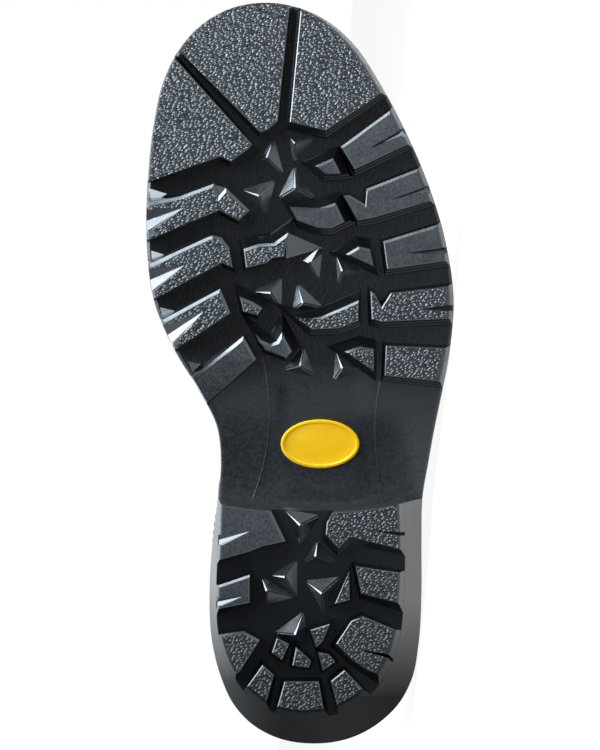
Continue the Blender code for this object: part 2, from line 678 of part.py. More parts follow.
def span_at(rows, reach):
    """Where on each section the form is a given distance out from the front line."""
    frame = section_frame(np.asarray(rows, float))
    breadth, foot, square = frame[4], frame[5], frame[8]
    start = first_turn(breadth, foot, square)
    turn = np.arccos(np.clip(np.asarray(reach) / breadth, 0.0, 1.0) ** (1 / square))
    return (turn - start) / (math.pi / 2 - start)


def span_of_rise(rows, rise):
    """Where on each section the form has climbed a given share of the way to the front line."""
    frame = section_frame(np.asarray(rows, float))
    start = first_turn(frame[4], frame[5], frame[8])
    turn = np.arcsin(np.clip(np.sin(start) + rise * (1 - np.sin(start)), -1.0, 1.0))
    return (turn - start) / (math.pi / 2 - start)


def outward(rows, spans, side):
    """Directions square to the form."""
    rows = np.clip(np.asarray(rows, float), 0.12, len(ROWS) - 1.01)
    spans = np.clip(spans, 0.012, 0.988)
    along = form(rows + 0.01, spans, side) - form(rows - 0.01, spans, side)
    around = form(rows, spans + 0.01, side) - form(rows, spans - 0.01, side)
    normal = np.cross(along, around) * side
    normal /= np.linalg.norm(normal, axis=2)[..., None]
    return normal


def throat_gap(rows):
    """Half width of the throat."""
    opening = smooth_step((np.asarray(rows, float) - SEAM_ROW - 0.05) / 0.9)
    widen = np.clip((np.asarray(rows, float) - SEAM_ROW) / (COLLAR_ROW - SEAM_ROW), 0.0, 1.2)
    return opening * (THROAT_GAP - 3.0 + 3.0 * widen)


def leather(rows, low, high, columns, inside, outside):
    """Closed leather between two offsets from the form, on both sides, from low to high span."""
    rows = np.asarray(rows, float)
    share = np.linspace(0.0, 1.0, columns + 1)[None, :]
    spans = low[:, None] * (1 - share) + high[:, None] * share
    places = {}
    outer_skin = []
    inner_skin = []
    faces = []
    for side in (-1.0, 1.0):
        base = form(rows, spans, side)
        normal = outward(rows, spans, side)
        seam = (spans > 0.999) | ((spans < 0.001) & (rows[:, None] > HEEL_ROW - 0.001))
        on_welt = (spans < 0.001) & (rows[:, None] <= HEEL_ROW)
        normal[..., 1] = np.where(seam, 0.0, normal[..., 1])
        normal[..., 2] = np.where(on_welt, 0.0, normal[..., 2])
        normal /= np.linalg.norm(normal, axis=2)[..., None]
        index = np.zeros(spans.shape, int)
        for i in range(len(rows)):
            for j in range(columns + 1):
                key = tuple(np.round(base[i, j], 2))
                if key not in places:
                    places[key] = len(outer_skin)
                    outer_skin.append(base[i, j] + normal[i, j] * outside[i])
                    inner_skin.append(base[i, j] + normal[i, j] * inside[i])
                index[i, j] = places[key]
        for i in range(len(rows) - 1):
            for j in range(columns):
                quad = [index[i, j], index[i + 1, j], index[i + 1, j + 1], index[i, j + 1]]
                quad = quad if side > 0 else quad[::-1]
                corners = [v for k, v in enumerate(quad) if v != quad[k - 1]]
                if len(corners) > 2:
                    faces.append(corners)
    return two_skins(outer_skin, inner_skin, faces)


def two_skins(outer_skin, inner_skin, faces):
    """Closes two matching skins into one solid with rims along their open edges."""
    ways = {(face[k - 1], face[k]) for face in faces for k in range(len(face))}
    bm = bmesh.new()
    out = [bm.verts.new(p) for p in outer_skin]
    inn = [bm.verts.new(p) for p in inner_skin]
    for face in faces:
        bm.faces.new([out[v] for v in face])
        bm.faces.new([inn[v] for v in face[::-1]])
    for a, b in sorted(ways):
        if (b, a) not in ways:
            bm.faces.new((out[b], out[a], inn[a], inn[b]))
    bmesh.ops.recalc_face_normals(bm, faces=bm.faces)
    return bm


def rows_between(first, last):
    """Rows at which leather is built, closer together where toe, arch and heel turn."""
    foot = np.arange(0.0, HEEL_ROW + 3.0, 0.5)
    shaft = np.arange(HEEL_ROW + 3.0, len(SECTIONS), 1.0)
    arch = np.concatenate([np.arange(SEAM_ROW + k / 6, SEAM_ROW + 2.6, 0.5) for k in (1, 2)])
    turns = [0.2, 0.7, HEEL_ROW - 0.7, HEEL_ROW - 0.35, HEEL_ROW - 0.18, HEEL_ROW - 0.07]
    rows = np.sort(np.concatenate([foot, shaft, arch, turns]))
    return rows[(rows > first - 0.001) & (rows < last + 0.001)]


def make_upper():
    step = [SEAM_ROW + 0.03]
    rows = np.sort(np.concatenate([rows_between(0.0, COLLAR_ROW), step]))
    front = np.where(throat_gap(rows) > 0.05, span_at(rows, throat_gap(rows)), 1.0)
    outside = np.where(rows > SEAM_ROW, OVERLAP_STEP, 0.0)
    bm = leather(rows, np.zeros(len(rows)), front, 7, np.full(len(rows), -WALL), outside)
    return new_object("upper", bm, LEATHER, 40)


def make_tongue():
    instep = np.arange(SEAM_ROW - 0.5, HEEL_ROW + 1.0, 0.5)
    shaft = np.arange(HEEL_ROW + 1.0, len(SECTIONS), 1.0)
    rows = np.concatenate([instep, shaft])
    reach = TONGUE_REACH * np.clip(0.72 + 0.28 * (rows - rows[0]) / 3.0, 0.0, 1.0)
    count = np.ones(len(rows))
    outside = -(WALL + TONGUE_CLEAR) * count
    bm = leather(rows, span_at(rows, reach), count, 3, outside - TONGUE, outside)
    return new_object("tongue", bm, LEATHER, 40)


def make_counter():
    rows = rows_between(COUNTER[0].row - 0.01, COUNTER[-1].row)
    share = np.interp(rows, [patch.row for patch in COUNTER], [patch.share for patch in COUNTER])
    inside = np.full(len(rows), OVERLAY_AT)
    bm = leather(rows, np.zeros(len(rows)), span_of_rise(rows, share), 6, inside, inside + FACING)
    return new_object("counter", bm, FACING_LEATHER, 40)


def facing_point(row, reach, side, out):
    """A point on the front of the boot, a reach out from the front line, and the way out there."""
    rows = np.array([row])
    spans = span_at(rows, np.array([reach]))[:, None]
    point = form(rows, spans, side)[0, 0]
    normal = outward(rows, spans, side)[0, 0]
    return point + normal * out, normal


def make_eyestay(name, side):
    rows = np.append(rows_between(SEAM_ROW + 0.6, COLLAR_ROW - 0.6), COLLAR_ROW - 0.5)
    near = span_at(rows, throat_gap(rows) + 1.2)
    far = span_at(rows, throat_gap(rows) + 11.0 + 10.0 * smooth_step((rows - SEAM_ROW - 0.6) / 1.4))
    share = np.linspace(0.0, 1.0, 4)[None, :]
    spans = far[:, None] * (1 - share) + near[:, None] * share
    base = form(rows, spans, side)
    normal = outward(rows, spans, side)
    bm = grid_solid(base + normal * OVERLAY_AT, base + normal * (OVERLAY_AT + FACING))
    return new_object(name, bm, FACING_LEATHER, 40)


def eyelet_rows():
    """Rows of the sections at which the eyelets sit, evenly along the facing."""
    rows = np.linspace(SEAM_ROW + 0.75, COLLAR_ROW - 0.6, 200)
    line = np.array([facing_point(row, float(throat_gap(row)) + EYELET_INSET, 1.0, 0.0)[0] for row in rows])
    along = np.concatenate([[0.0], np.cumsum(np.linalg.norm(np.diff(line, axis=0), axis=1))])
    return np.interp(np.linspace(0.0, along[-1], EYELET_PAIRS), along, rows)


def make_eyelet(name, row, side):
    base = OVERLAY_AT + FACING + EYELET_CLEAR
    reach = float(throat_gap(row)) + EYELET_INSET
    place, normal = facing_point(row, reach, side, base)
    bm = bmesh.new()
    profile = (
        (EYELET_HOLE, 0.0),
        (EYELET_OUT, 0.0),
        (EYELET_OUT - 0.8, EYELET_TALL),
        (EYELET_HOLE, EYELET_TALL),
    )
    verts = [bm.verts.new((radius, 0.0, height)) for radius, height in profile]
    edges = [bm.edges.new((verts[k - 1], verts[k])) for k in range(4)]
    bmesh.ops.spin(bm, geom=verts + edges, cent=(0, 0, 0), axis=(0, 0, 1), angle=math.tau, steps=8,
                   use_merge=True)
    bmesh.ops.remove_doubles(bm, verts=bm.verts, dist=0.001)
    bmesh.ops.recalc_face_normals(bm, faces=bm.faces)
    eyelet = new_object(name, bm, BRASS, 40)
    turn = Vector((0, 0, 1)).rotation_difference(Vector(normal))
    eyelet.matrix_local = Matrix.Translation(Vector(place) * MM) @ turn.to_matrix().to_4x4()
    return eyelet


def cord(name, stops):
    """A round cord through points on the front of the boot: row, reach with its side's sign, height out."""
    curve = bpy.data.curves.new(name, "CURVE")
    curve.dimensions = "3D"
    curve.bevel_depth = LACE / 2 * MM
    curve.bevel_resolution = 1
    curve.use_fill_caps = True
    spline = curve.splines.new("POLY")
    spline.points.add(len(stops) - 1)
    for point, (row, reach, out) in zip(spline.points, stops):
        place = facing_point(row, abs(reach), 1.0 if reach >= 0 else -1.0, out)[0]
        point.co = (*(place * MM), 1.0)
    guide = bpy.data.objects.new(name + "_guide", curve)
    bpy.context.scene.collection.objects.link(guide)
    mesh = bpy.data.meshes.new_from_object(guide.evaluated_get(bpy.context.evaluated_depsgraph_get()))
    bpy.data.objects.remove(guide)
    bm = bmesh.new()
    bm.from_mesh(mesh)
    bmesh.ops.remove_doubles(bm, verts=bm.verts, dist=1e-6)
    bmesh.ops.scale(bm, vec=(1 / MM, 1 / MM, 1 / MM), verts=bm.verts)
    bmesh.ops.recalc_face_normals(bm, faces=bm.faces)
    return new_object(name, bm, CORD, 60)


def make_lace(rows):
    """Two cords that cross between the eyelets and a bar at the foot, joined."""
    at_eyelet = OVERLAY_AT + FACING + EYELET_CLEAR + EYELET_TALL + LACE_CLEAR + LACE / 2
    between = OVERLAY_AT + FACING + LACE_CLEAR + LACE / 2
    steps = np.linspace(0.0, 1.0, 6)
    cords = []
    for name, first in (("lace", -1.0), ("lace_second", 1.0)):
        stops = []
        for k in range(len(rows) - 1):
            side = first if k % 2 == 0 else -first
            for f in steps[1 if k else 0:]:
                row = rows[k] + (rows[k + 1] - rows[k]) * f
                reach = side * (1 - 2 * f) * (float(throat_gap(row)) + EYELET_INSET)
                rise = float(smooth_step((abs(1 - 2 * f) - 0.3) / 0.35))
                stops.append((row, reach, between + (at_eyelet - between) * rise))
        cords.append(cord(name, stops))
    reach = float(throat_gap(rows[0])) + EYELET_INSET
    bar = []
    for f in np.linspace(-1.0, 1.0, 6):
        rise = float(smooth_step((abs(f) - 0.3) / 0.35))
        bar.append((rows[0], reach * f, between + (at_eyelet - between) * rise))
    cords.append(cord("lace_bar", bar))
    join(cords[0], cords[1])
    join(cords[0], cords[2])
    return cords[0]


# The boot on its side

def solid_points(obj):
    """Corners and triangles of a finished piece."""
    shape = obj.evaluated_get(bpy.context.evaluated_depsgraph_get())
    mesh = shape.to_mesh()
    mesh.calc_loop_triangles()
    corners = np.array([shape.matrix_world @ v.co for v in mesh.vertices])
    triangles = np.array([t.vertices[:] for t in mesh.loop_triangles])
    shape.to_mesh_clear()
    return corners, triangles


def lying_pose(pieces):
    """The turn that lays the boot on the flat of its outer side that holds its centre of mass."""
    volume = 0.0
    moment = np.zeros(3)
    clouds = []
    for piece in pieces:
        corners, triangles = solid_points(piece)
        a, b, c = (corners[triangles[:, k]] for k in range(3))
        share = np.einsum("ij,ij->i", a, np.cross(b, c)) / 6
        volume += share.sum()
        moment += ((a + b + c) / 4 * share[:, None]).sum(axis=0)
        clouds.append(corners)
    centre = moment / volume
    cloud = np.concatenate(clouds)
    hull = bmesh.new()
    for p in cloud[cloud[:, 1] > centre[1]]:
        hull.verts.new(p)
    made = bmesh.ops.convex_hull(hull, input=hull.verts)["geom"]
    down = np.array((0.0, 1.0, 0.0))
    for face in [item for item in made if isinstance(item, bmesh.types.BMFace)]:
        a, b, c = (np.array(v.co) for v in face.verts)
        normal = np.cross(b - a, c - a)
        normal /= np.linalg.norm(normal)
        normal *= np.sign(normal[1])
        below = centre + normal * float((a - centre) @ normal)
        turns = [np.cross(q - p, below - p) @ normal for p, q in ((a, b), (b, c), (c, a))]
        if normal[1] > 0.9 and (min(turns) >= 0 or max(turns) <= 0):
            down = normal
    hull.free()
    ahead = np.array((1.0, 0.0, 0.0))
    ahead = ahead - down * (ahead @ down)
    ahead /= np.linalg.norm(ahead)
    turn = np.stack([ahead, np.cross(-down, ahead), -down])
    laid = cloud @ turn.T
    corner_low = laid.min(axis=0)
    corner_high = laid.max(axis=0)
    middle = (corner_low + corner_high) / 2
    pose = Matrix(turn.tolist()).to_4x4()
    pose.translation = (-middle[0], -middle[1], -corner_low[2])
    return pose


def main():
    for obj in list(bpy.data.objects):
        bpy.data.objects.remove(obj)
    pieces = [make_outsole(), make_heel(), make_badge(), make_welt(), make_insole()]
    pieces += [make_upper(), make_tongue(), make_counter()]
    rows = eyelet_rows()
    for label, side in (("inner", -1.0), ("outer", 1.0)):
        pieces.append(make_eyestay("eyestay_" + label, side))
        for number, row in enumerate(rows, 1):
            pieces.append(make_eyelet(f"eyelet_{label}_{number}", row, side))
    pieces.append(make_lace(rows))
    boot = bpy.data.objects.new("boot", None)
    bpy.context.scene.collection.objects.link(boot)
    bpy.context.view_layer.update()
    boot.matrix_world = lying_pose(pieces)
    for obj in list(bpy.data.objects):
        if obj is not boot:
            obj.parent = boot


main()
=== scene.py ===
# %% [markdown]
# # A left logger boot, seen from below
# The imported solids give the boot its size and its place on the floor: it lies on its outer side, with the
# tread towards the viewer. Each step of this lesson dresses some of those solids with the rubber, leather and
# metal of the real boot. The solids stay in the frame, and a finished piece only stands for them.

# %% Load the frame
import json
import math
from collections import namedtuple

import bmesh
import bpy
import numpy as np
from mathutils import Matrix, Vector


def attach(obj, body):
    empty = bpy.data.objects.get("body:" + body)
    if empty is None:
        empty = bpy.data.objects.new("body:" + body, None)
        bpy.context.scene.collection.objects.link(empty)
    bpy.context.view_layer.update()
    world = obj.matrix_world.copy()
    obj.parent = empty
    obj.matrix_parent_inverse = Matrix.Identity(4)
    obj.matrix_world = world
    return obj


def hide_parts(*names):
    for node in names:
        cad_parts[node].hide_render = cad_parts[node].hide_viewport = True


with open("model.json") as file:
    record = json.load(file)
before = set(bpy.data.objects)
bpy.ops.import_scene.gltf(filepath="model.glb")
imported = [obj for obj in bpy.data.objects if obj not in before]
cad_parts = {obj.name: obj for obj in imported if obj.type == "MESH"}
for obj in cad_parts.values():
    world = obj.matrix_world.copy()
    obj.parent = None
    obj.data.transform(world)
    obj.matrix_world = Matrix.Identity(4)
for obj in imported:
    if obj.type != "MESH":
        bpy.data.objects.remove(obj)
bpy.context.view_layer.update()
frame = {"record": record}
MM = 0.001

# %% [markdown]
# ## The boot's own frame
# A shoemaker measures along the boot, across it and up from the ground. The record's two resting faces lie on
# the ground side of the tread, so their places and their shared direction are enough to find those three
# directions again. Every table below is in millimetres in that frame.

# %% Find the boot's frame from its resting faces
FORE_REST = (174.0, 34.0)
HEEL_REST = (65.0, 25.0)
rests = {mount["name"]: mount for mount in frame["record"]["mounts"]}
up = -Vector(rests["heel_rest"]["axis"]).normalized()
fore_at = Vector(rests["forefoot_rest"]["pos_m"])
line = fore_at - Vector(rests["heel_rest"]["pos_m"])
line = (line - up * line.dot(up)).normalized()
across = up.cross(line)
plan = Vector((FORE_REST[0] - HEEL_REST[0], FORE_REST[1] - HEEL_REST[1])).normalized()
ahead = line * plan.x - across * plan.y
aside = line * plan.y + across * plan.x
ground = fore_at - (ahead * FORE_REST[0] + aside * FORE_REST[1]) * MM
ROW = Matrix.Translation(ground) @ Matrix((ahead, aside, up)).transposed().to_4x4() @ Matrix.Scale(MM, 4)
print("heel, ground level:", [round(v, 4) for v in ROW.translation])


def place(points):
    """Boot points in millimetres as points of the row, in metres."""
    return [ROW @ Vector(p) for p in points]


# %% [markdown]
# ## Light, floor and camera
# The tread faces the viewer, so the camera stands level with the boot and is rolled until the toe points up
# the picture. A long lens keeps the heel, which is nearer, in scale with the forefoot. Black rubber shows its
# shape by what it mirrors, so three soft lights stand on the inner side and towards the toe, and the rest of
# the room stays dim. A broad light behind the boot serves the other views, and the pale floor glows a little.

# %% Camera
LENS = 260.0
SENSOR = 36.0
FRAME_TALL = 293.6
LOOK_AT = (146.4, -5.9, 8.0)
studio = bpy.context.scene
camera_data = bpy.data.cameras.new("camera")
camera_data.lens = LENS
camera_data.sensor_width = SENSOR
camera_data.clip_end = 50.0
camera = bpy.data.objects.new("camera", camera_data)
studio.collection.objects.link(camera)
distance = FRAME_TALL * LENS / SENSOR * MM
view = Matrix((aside, ahead, -up)).transposed().to_4x4()
view.translation = place([LOOK_AT])[0] - up * distance
camera.matrix_world = view
studio.camera = camera
print("camera stands", round(distance, 3), "m away, height", round(view.translation.z, 3))

# %% Floor, lights and surroundings
FLOOR_GLOW = 0.92
SURROUND = 0.07
COOL_WHITE = (0.92, 0.97, 1.0)
studio.view_settings.view_transform = "Standard"
bpy.ops.mesh.primitive_grid_add(x_subdivisions=2, y_subdivisions=2, size=14.0)
floor = bpy.context.active_object
floor.name = "floor"
paper = bpy.data.materials.new("pale_paper")
paper.use_nodes = True
paper_shader = paper.node_tree.nodes["Principled BSDF"]
paper_shader.inputs["Roughness"].default_value = 0.9
paper_shader.inputs["Specular IOR Level"].default_value = 0.1
paper_shader.inputs["Emission Color"].default_value = (1.0, 1.0, 1.0, 1.0)
paper_shader.inputs["Emission Strength"].default_value = FLOOR_GLOW
paper_grain = paper.node_tree.nodes.new("ShaderNodeTexNoise")
paper_grain.inputs["Scale"].default_value = 30.0
paper_tone = paper.node_tree.nodes.new("ShaderNodeMapRange")
paper_tone.inputs["To Min"].default_value = 0.12
paper_tone.inputs["To Max"].default_value = 0.15
paper.node_tree.links.new(paper_grain.outputs["Fac"], paper_tone.inputs["Value"])
paper.node_tree.links.new(paper_tone.outputs["Result"], paper_shader.inputs["Base Color"])
floor.data.materials.append(paper)


def soft_light(name, at, size, power):
    """A soft box at a boot place, facing the middle of the tread."""
    lamp = bpy.data.lights.new(name, "AREA")
    lamp.shape = "RECTANGLE"
    lamp.size, lamp.size_y = size
    lamp.energy = power
    lamp.color = COOL_WHITE
    obj = bpy.data.objects.new(name, lamp)
    studio.collection.objects.link(obj)
    obj.location = place([at])[0]
    aim = place([LOOK_AT])[0] - obj.location
    obj.rotation_euler = aim.to_track_quat("-Z", "Y").to_euler()
    return obj


soft_light("key_light", (778.0, -562.0, -700.0), (0.7, 0.7), 23.0)
soft_light("inner_light", (420.0, -890.0, -550.0), (0.9, 0.9), 26.0)
soft_light("rim_light", (240.0, -1000.0, -120.0), (1.4, 0.3), 13.0)
soft_light("back_light", (146.0, -800.0, 1100.0), (2.2, 1.4), 17.0)
world = bpy.data.worlds.new("studio")
world.use_nodes = True
studio.world = world
tree = world.node_tree
sky = tree.nodes["Background"]
sky.inputs["Color"].default_value = (0.98, 0.99, 1.0, 1.0)
sky.inputs["Strength"].default_value = SURROUND
paper_wall = tree.nodes.new("ShaderNodeBackground")
paper_wall.inputs["Color"].default_value = (1.0, 1.0, 1.0, 1.0)
paper_wall.inputs["Strength"].default_value = 1.0
seen = tree.nodes.new("ShaderNodeLightPath")
either = tree.nodes.new("ShaderNodeMixShader")
tree.links.new(seen.outputs["Is Camera Ray"], either.inputs["Fac"])
tree.links.new(sky.outputs["Background"], either.inputs[1])
tree.links.new(paper_wall.outputs["Background"], either.inputs[2])
tree.links.new(either.outputs["Shader"], tree.nodes["World Output"].inputs["Surface"])

# %% [markdown]
# ## Finishes
# Five stuffs make this boot: moulded rubber, dyed leather, an amber plaque, brass and braided cord. Each is
# one small node tree. A broad noise shifts the colour and the gloss a little, as handling does, and a fine
# one lifts the surface. The patterns read Object coordinates, so they stay put on the piece from any side.

# %% Helpers for node trees


def new_finish(name, colour, roughness, metallic=0.0):
    finish = bpy.data.materials.new(name)
    finish.use_nodes = True
    shader = finish.node_tree.nodes["Principled BSDF"]
    shader.inputs["Base Color"].default_value = (*colour, 1.0)
    shader.inputs["Roughness"].default_value = roughness
    shader.inputs["Metallic"].default_value = metallic
    return finish, finish.node_tree, shader


def add_node(tree, kind, **values):
    node = tree.nodes.new(kind)
    for name, value in values.items():
        node.inputs[name.replace("_", " ")].default_value = value
    return node


def coords(tree, kind="Object"):
    return tree.nodes.new("ShaderNodeTexCoord").outputs[kind]


def noise(tree, scale, detail=2.0):
    """Noise of so many grains a metre."""
    grains = add_node(tree, "ShaderNodeTexNoise", Scale=scale, Detail=detail)
    tree.links.new(coords(tree), grains.inputs["Vector"])
    return grains.outputs["Fac"]


def spread_to(tree, value, low, high, start=0.3, stop=0.7):
    """A value between two limits of the pattern, as a value between two limits of the finish."""
    step = add_node(tree, "ShaderNodeMapRange", From_Min=start, From_Max=stop, To_Min=low, To_Max=high)
    tree.links.new(value, step.inputs["Value"])
    return step.outputs["Result"]


def two_tone(tree, value, first, second):
    mix = tree.nodes.new("ShaderNodeMix")
    mix.data_type = "RGBA"
    tree.links.new(value, mix.inputs["Factor"])
    mix.inputs["A"].default_value = (*first, 1.0)
    mix.inputs["B"].default_value = (*second, 1.0)
    return [socket for socket in mix.outputs if socket.type == "RGBA"][0]


def vary_tone(tree, shader, first, second, scale, detail):
    """Lets the colour wander between two tones, in so many patches a metre."""
    tone = two_tone(tree, spread_to(tree, noise(tree, scale, detail), 0.0, 1.0), first, second)
    tree.links.new(tone, shader.inputs["Base Color"])


def vary_gloss(tree, shader, low, high, scale, detail):
    """Lets the roughness wander between two values."""
    tree.links.new(spread_to(tree, noise(tree, scale, detail), low, high), shader.inputs["Roughness"])


def raise_grain(tree, shader, height, distance, strength=1.0, over=None):
    """Bumps of a height in millimetres."""
    bump = add_node(tree, "ShaderNodeBump", Strength=strength, Distance=distance * MM)
    tree.links.new(height, bump.inputs["Height"])
    if over is not None:
        tree.links.new(over, bump.inputs["Normal"])
    tree.links.new(bump.outputs["Normal"], shader.inputs["Normal"])
    return bump.outputs["Normal"]


# %% [markdown]
# Rubber takes several finishes. Smooth lugs are satin and worn ones pebbled, grooves are glossier and their
# colour is darker as painted shade, and bevels and studs have a polished edge. The pebbles could be modelled,
# but there are thousands of them, so a cell pattern lifts the surface instead. Some values change evenly
# along the sole, so that the waist and the heel keep the tones that the boot shows from below: the gloss, and
# the colour, which is darkened as painted shade on the groove floor of the forefoot and at the back of the
# heel.

# %% Rubber: one recipe, several finishes
COLD_GLEAM = (0.83, 0.91, 1.0, 1.0)
EDGE_GLEAM = 0.82


def rubber(name, dark, light, gloss, mottle=45.0):
    """Black rubber with a shift in tone, so many patches a metre, and in gloss."""
    finish, tree, shader = new_finish(name, dark, sum(gloss) / 2)
    vary_tone(tree, shader, dark, light, mottle, 4.0)
    vary_gloss(tree, shader, *gloss, 180.0, 3.0)
    shader.inputs["Specular Tint"].default_value = COLD_GLEAM
    return finish, tree, shader


def satin_rubber(name, dark, light, gloss, mottle, grain):
    finish, tree, shader = rubber(name, dark, light, gloss, mottle)
    fine = raise_grain(tree, shader, noise(tree, 1150.0, 2.0), grain, 0.6)
    raise_grain(tree, shader, noise(tree, 210.0, 1.0), 0.10, 0.35, fine)
    return finish


def along_sole(finish, socket, start, stop):
    """Lets a value of a finish change evenly between two places along the sole."""
    tree = finish.node_tree
    shader = tree.nodes["Principled BSDF"]
    split = tree.nodes.new("ShaderNodeSeparateXYZ")
    tree.links.new(coords(tree), split.inputs["Vector"])
    (first, low), (last, high) = start, stop
    ends = [place([(x, 0.0, 0.0)])[0].x for x in (first, last)]
    share = spread_to(tree, split.outputs["X"], low, high, *ends)
    if socket != "Base Color":
        tree.links.new(share, shader.inputs[socket])
        return
    # A base colour is scaled down evenly along the sole: the grades use this as painted shade.
    colour = shader.inputs[socket].links[0].from_socket
    scale = tree.nodes.new("ShaderNodeVectorMath")
    scale.operation = "SCALE"
    tree.links.new(colour, scale.inputs["Vector"])
    tree.links.new(share, scale.inputs["Scale"])
    tree.links.new(scale.outputs["Vector"], shader.inputs[socket])


PEBBLES_PER_M = 1080.0
PEBBLE_HEIGHT = 0.60


def pebbled_rubber():
    """Rounded pebbles, drawn out a little along one slant."""
    finish, tree, shader = rubber("pebbled_rubber", (0.004, 0.0048, 0.0056), (0.006, 0.0072, 0.0083),
                                  (0.18, 0.25))
    turn = add_node(tree, "ShaderNodeVectorRotate", Angle=math.radians(-45.0))
    turn.rotation_type = "Y_AXIS"
    draw_out = add_node(tree, "ShaderNodeMapping", Scale=(0.58, 1.0, 1.0))
    pebbles = tree.nodes.new("ShaderNodeTexVoronoi")
    pebbles.feature = "SMOOTH_F1"
    pebbles.inputs["Scale"].default_value = PEBBLES_PER_M
    pebbles.inputs["Smoothness"].default_value = 0.30
    tree.links.new(coords(tree), turn.inputs["Vector"])
    tree.links.new(turn.outputs["Vector"], draw_out.inputs["Vector"])
    tree.links.new(draw_out.outputs["Vector"], pebbles.inputs["Vector"])
    domes = spread_to(tree, pebbles.outputs["Distance"], 1.0, 0.0, 0.0, 0.8)
    domes.node.interpolation_type = "SMOOTHSTEP"
    broad = raise_grain(tree, shader, noise(tree, 420.0, 1.0), 0.3, 0.5)
    raise_grain(tree, shader, domes, PEBBLE_HEIGHT, 1.0, broad)
    return finish


SATIN = satin_rubber("satin_rubber", (0.005, 0.006, 0.007), (0.020, 0.023, 0.026), (0.30, 0.42), 900.0, 0.22)
# Grooves and lug walls: glossier rubber whose darker colour is painted shade.
SHADED_GROOVE = satin_rubber("groove_rubber_painted_shade", (0.0015, 0.0019, 0.0023), (0.0026, 0.0031, 0.0036), (0.18, 0.25), 45.0,
                      0.03)
EDGE = satin_rubber("worn_edge_rubber", (0.006, 0.007, 0.008), (0.011, 0.0125, 0.014), (0.22, 0.30), 300.0,
                    0.03)
# The waist finish also covers the floor between the forefoot lugs, where a grade darkens it as painted shade.
WAIST = satin_rubber("waist_rubber", (0.006, 0.0072, 0.0082), (0.018, 0.0205, 0.023), (0.36, 0.46), 700.0,
                     0.05)
HEEL_WALL = satin_rubber("heel_wall_rubber", (0.006, 0.007, 0.008), (0.014, 0.0165, 0.019), (0.32, 0.44),
                         700.0, 0.12)
PEBBLE = pebbled_rubber()
EDGE.node_tree.nodes["Principled BSDF"].inputs["Specular IOR Level"].default_value = EDGE_GLEAM
SHADE_AND_GLOSS_GRADES = (
    # Painted shade: the waist colour is darkest on the forefoot's groove floor and lightens towards the heel.
    (WAIST, "Base Color", (152.0, 0.18), (118.0, 0.9)),
    (WAIST, "Roughness", (152.0, 0.20), (118.0, 0.40)),
    (WAIST, "Specular IOR Level", (152.0, 0.3), (118.0, 0.5)),
    # Painted shade: the heel wall's colour darkens towards its back; its gloss changes along it too.
    (HEEL_WALL, "Specular IOR Level", (22.0, 0.03), (62.0, 0.5)),
    (HEEL_WALL, "Base Color", (22.0, 0.45), (62.0, 1.0)),
    (HEEL_WALL, "Roughness", (22.0, 0.60), (62.0, 0.38)),
    (PEBBLE, "Specular IOR Level", (290.0, 0.64), (15.0, 0.25)),
    (SATIN, "Specular IOR Level", (100.0, 0.45), (60.0, 0.26)),
    (SHADED_GROOVE, "Specular IOR Level", (100.0, 0.3), (60.0, 0.14)),
)
for grade in SHADE_AND_GLOSS_GRADES:
    along_sole(*grade)
print("rubber finishes:", SATIN.name, SHADED_GROOVE.name, EDGE.name, WAIST.name, HEEL_WALL.name, PEBBLE.name)

# %% [markdown]
# Leather shows fine cells with pores between them, so its grain is a cell pattern, where plain noise would
# look like paper. The cord's braid is two slanted waves, of which the higher one shows, and its colour is
# darker where the weave is low, as painted shade between the strands. Brass and amber need only a shift in
# tone and gloss, since a bright surface is told by what it mirrors.

# %% Leather, cord, brass, board and amber
LEATHER_GLEAM = 0.32


def leather_finish(name, dark, light, grain_scale, depth, gloss):
    finish, tree, shader = new_finish(name, dark, gloss)
    shader.inputs["Specular IOR Level"].default_value = LEATHER_GLEAM
    vary_tone(tree, shader, dark, light, 28.0, 5.0)
    vary_gloss(tree, shader, gloss - 0.07, gloss + 0.10, 90.0, 3.0)
    cells = add_node(tree, "ShaderNodeTexVoronoi", Scale=grain_scale)
    cells.feature = "DISTANCE_TO_EDGE"
    tree.links.new(coords(tree), cells.inputs["Vector"])
    pores = spread_to(tree, cells.outputs["Distance"], 0.0, 1.0, 0.0, 0.16)
    first = raise_grain(tree, shader, pores, depth, 0.6)
    raise_grain(tree, shader, noise(tree, 120.0, 3.0), 0.5, 0.35, first)
    return finish


def braid_finish():
    finish, tree, shader = new_finish("braided_cord", (0.030, 0.027, 0.024), 0.8)
    heights = []
    for lean in (1.0, -1.0):
        turn = add_node(tree, "ShaderNodeMapping", Rotation=(0.0, 0.0, lean * 0.7))
        tree.links.new(coords(tree, "UV"), turn.inputs["Vector"])
        strands = add_node(tree, "ShaderNodeTexWave", Scale=1.6)
        tree.links.new(turn.outputs["Vector"], strands.inputs["Vector"])
        heights.append(strands.outputs["Fac"])
    weave = tree.nodes.new("ShaderNodeMath")
    weave.operation = "MAXIMUM"
    tree.links.new(heights[0], weave.inputs[0])
    tree.links.new(heights[1], weave.inputs[1])
    # The colour is darker where the weave is low: painted shade between the strands.
    tree.links.new(two_tone(tree, weave.outputs["Value"], (0.012, 0.011, 0.010), (0.050, 0.045, 0.040)),
                   shader.inputs["Base Color"])
    raise_grain(tree, shader, weave.outputs["Value"], 0.4, 0.8)
    return finish


def brass_finish():
    finish, tree, shader = new_finish("aged_brass", (0.46, 0.34, 0.15), 0.34, 1.0)
    vary_tone(tree, shader, (0.50, 0.37, 0.16), (0.26, 0.18, 0.08), 700.0, 3.0)
    vary_gloss(tree, shader, 0.24, 0.46, 900.0, 2.0)
    return finish


def amber_finish():
    finish, tree, shader = new_finish("amber_plaque", (0.90, 0.36, 0.004), 0.36)
    vary_tone(tree, shader, (0.62, 0.37, 0.002), (0.57, 0.33, 0.002), 90.0, 3.0)
    vary_gloss(tree, shader, 0.30, 0.46, 400.0, 2.0)
    raise_grain(tree, shader, noise(tree, 1100.0, 2.0), 0.03, 0.5)
    return finish


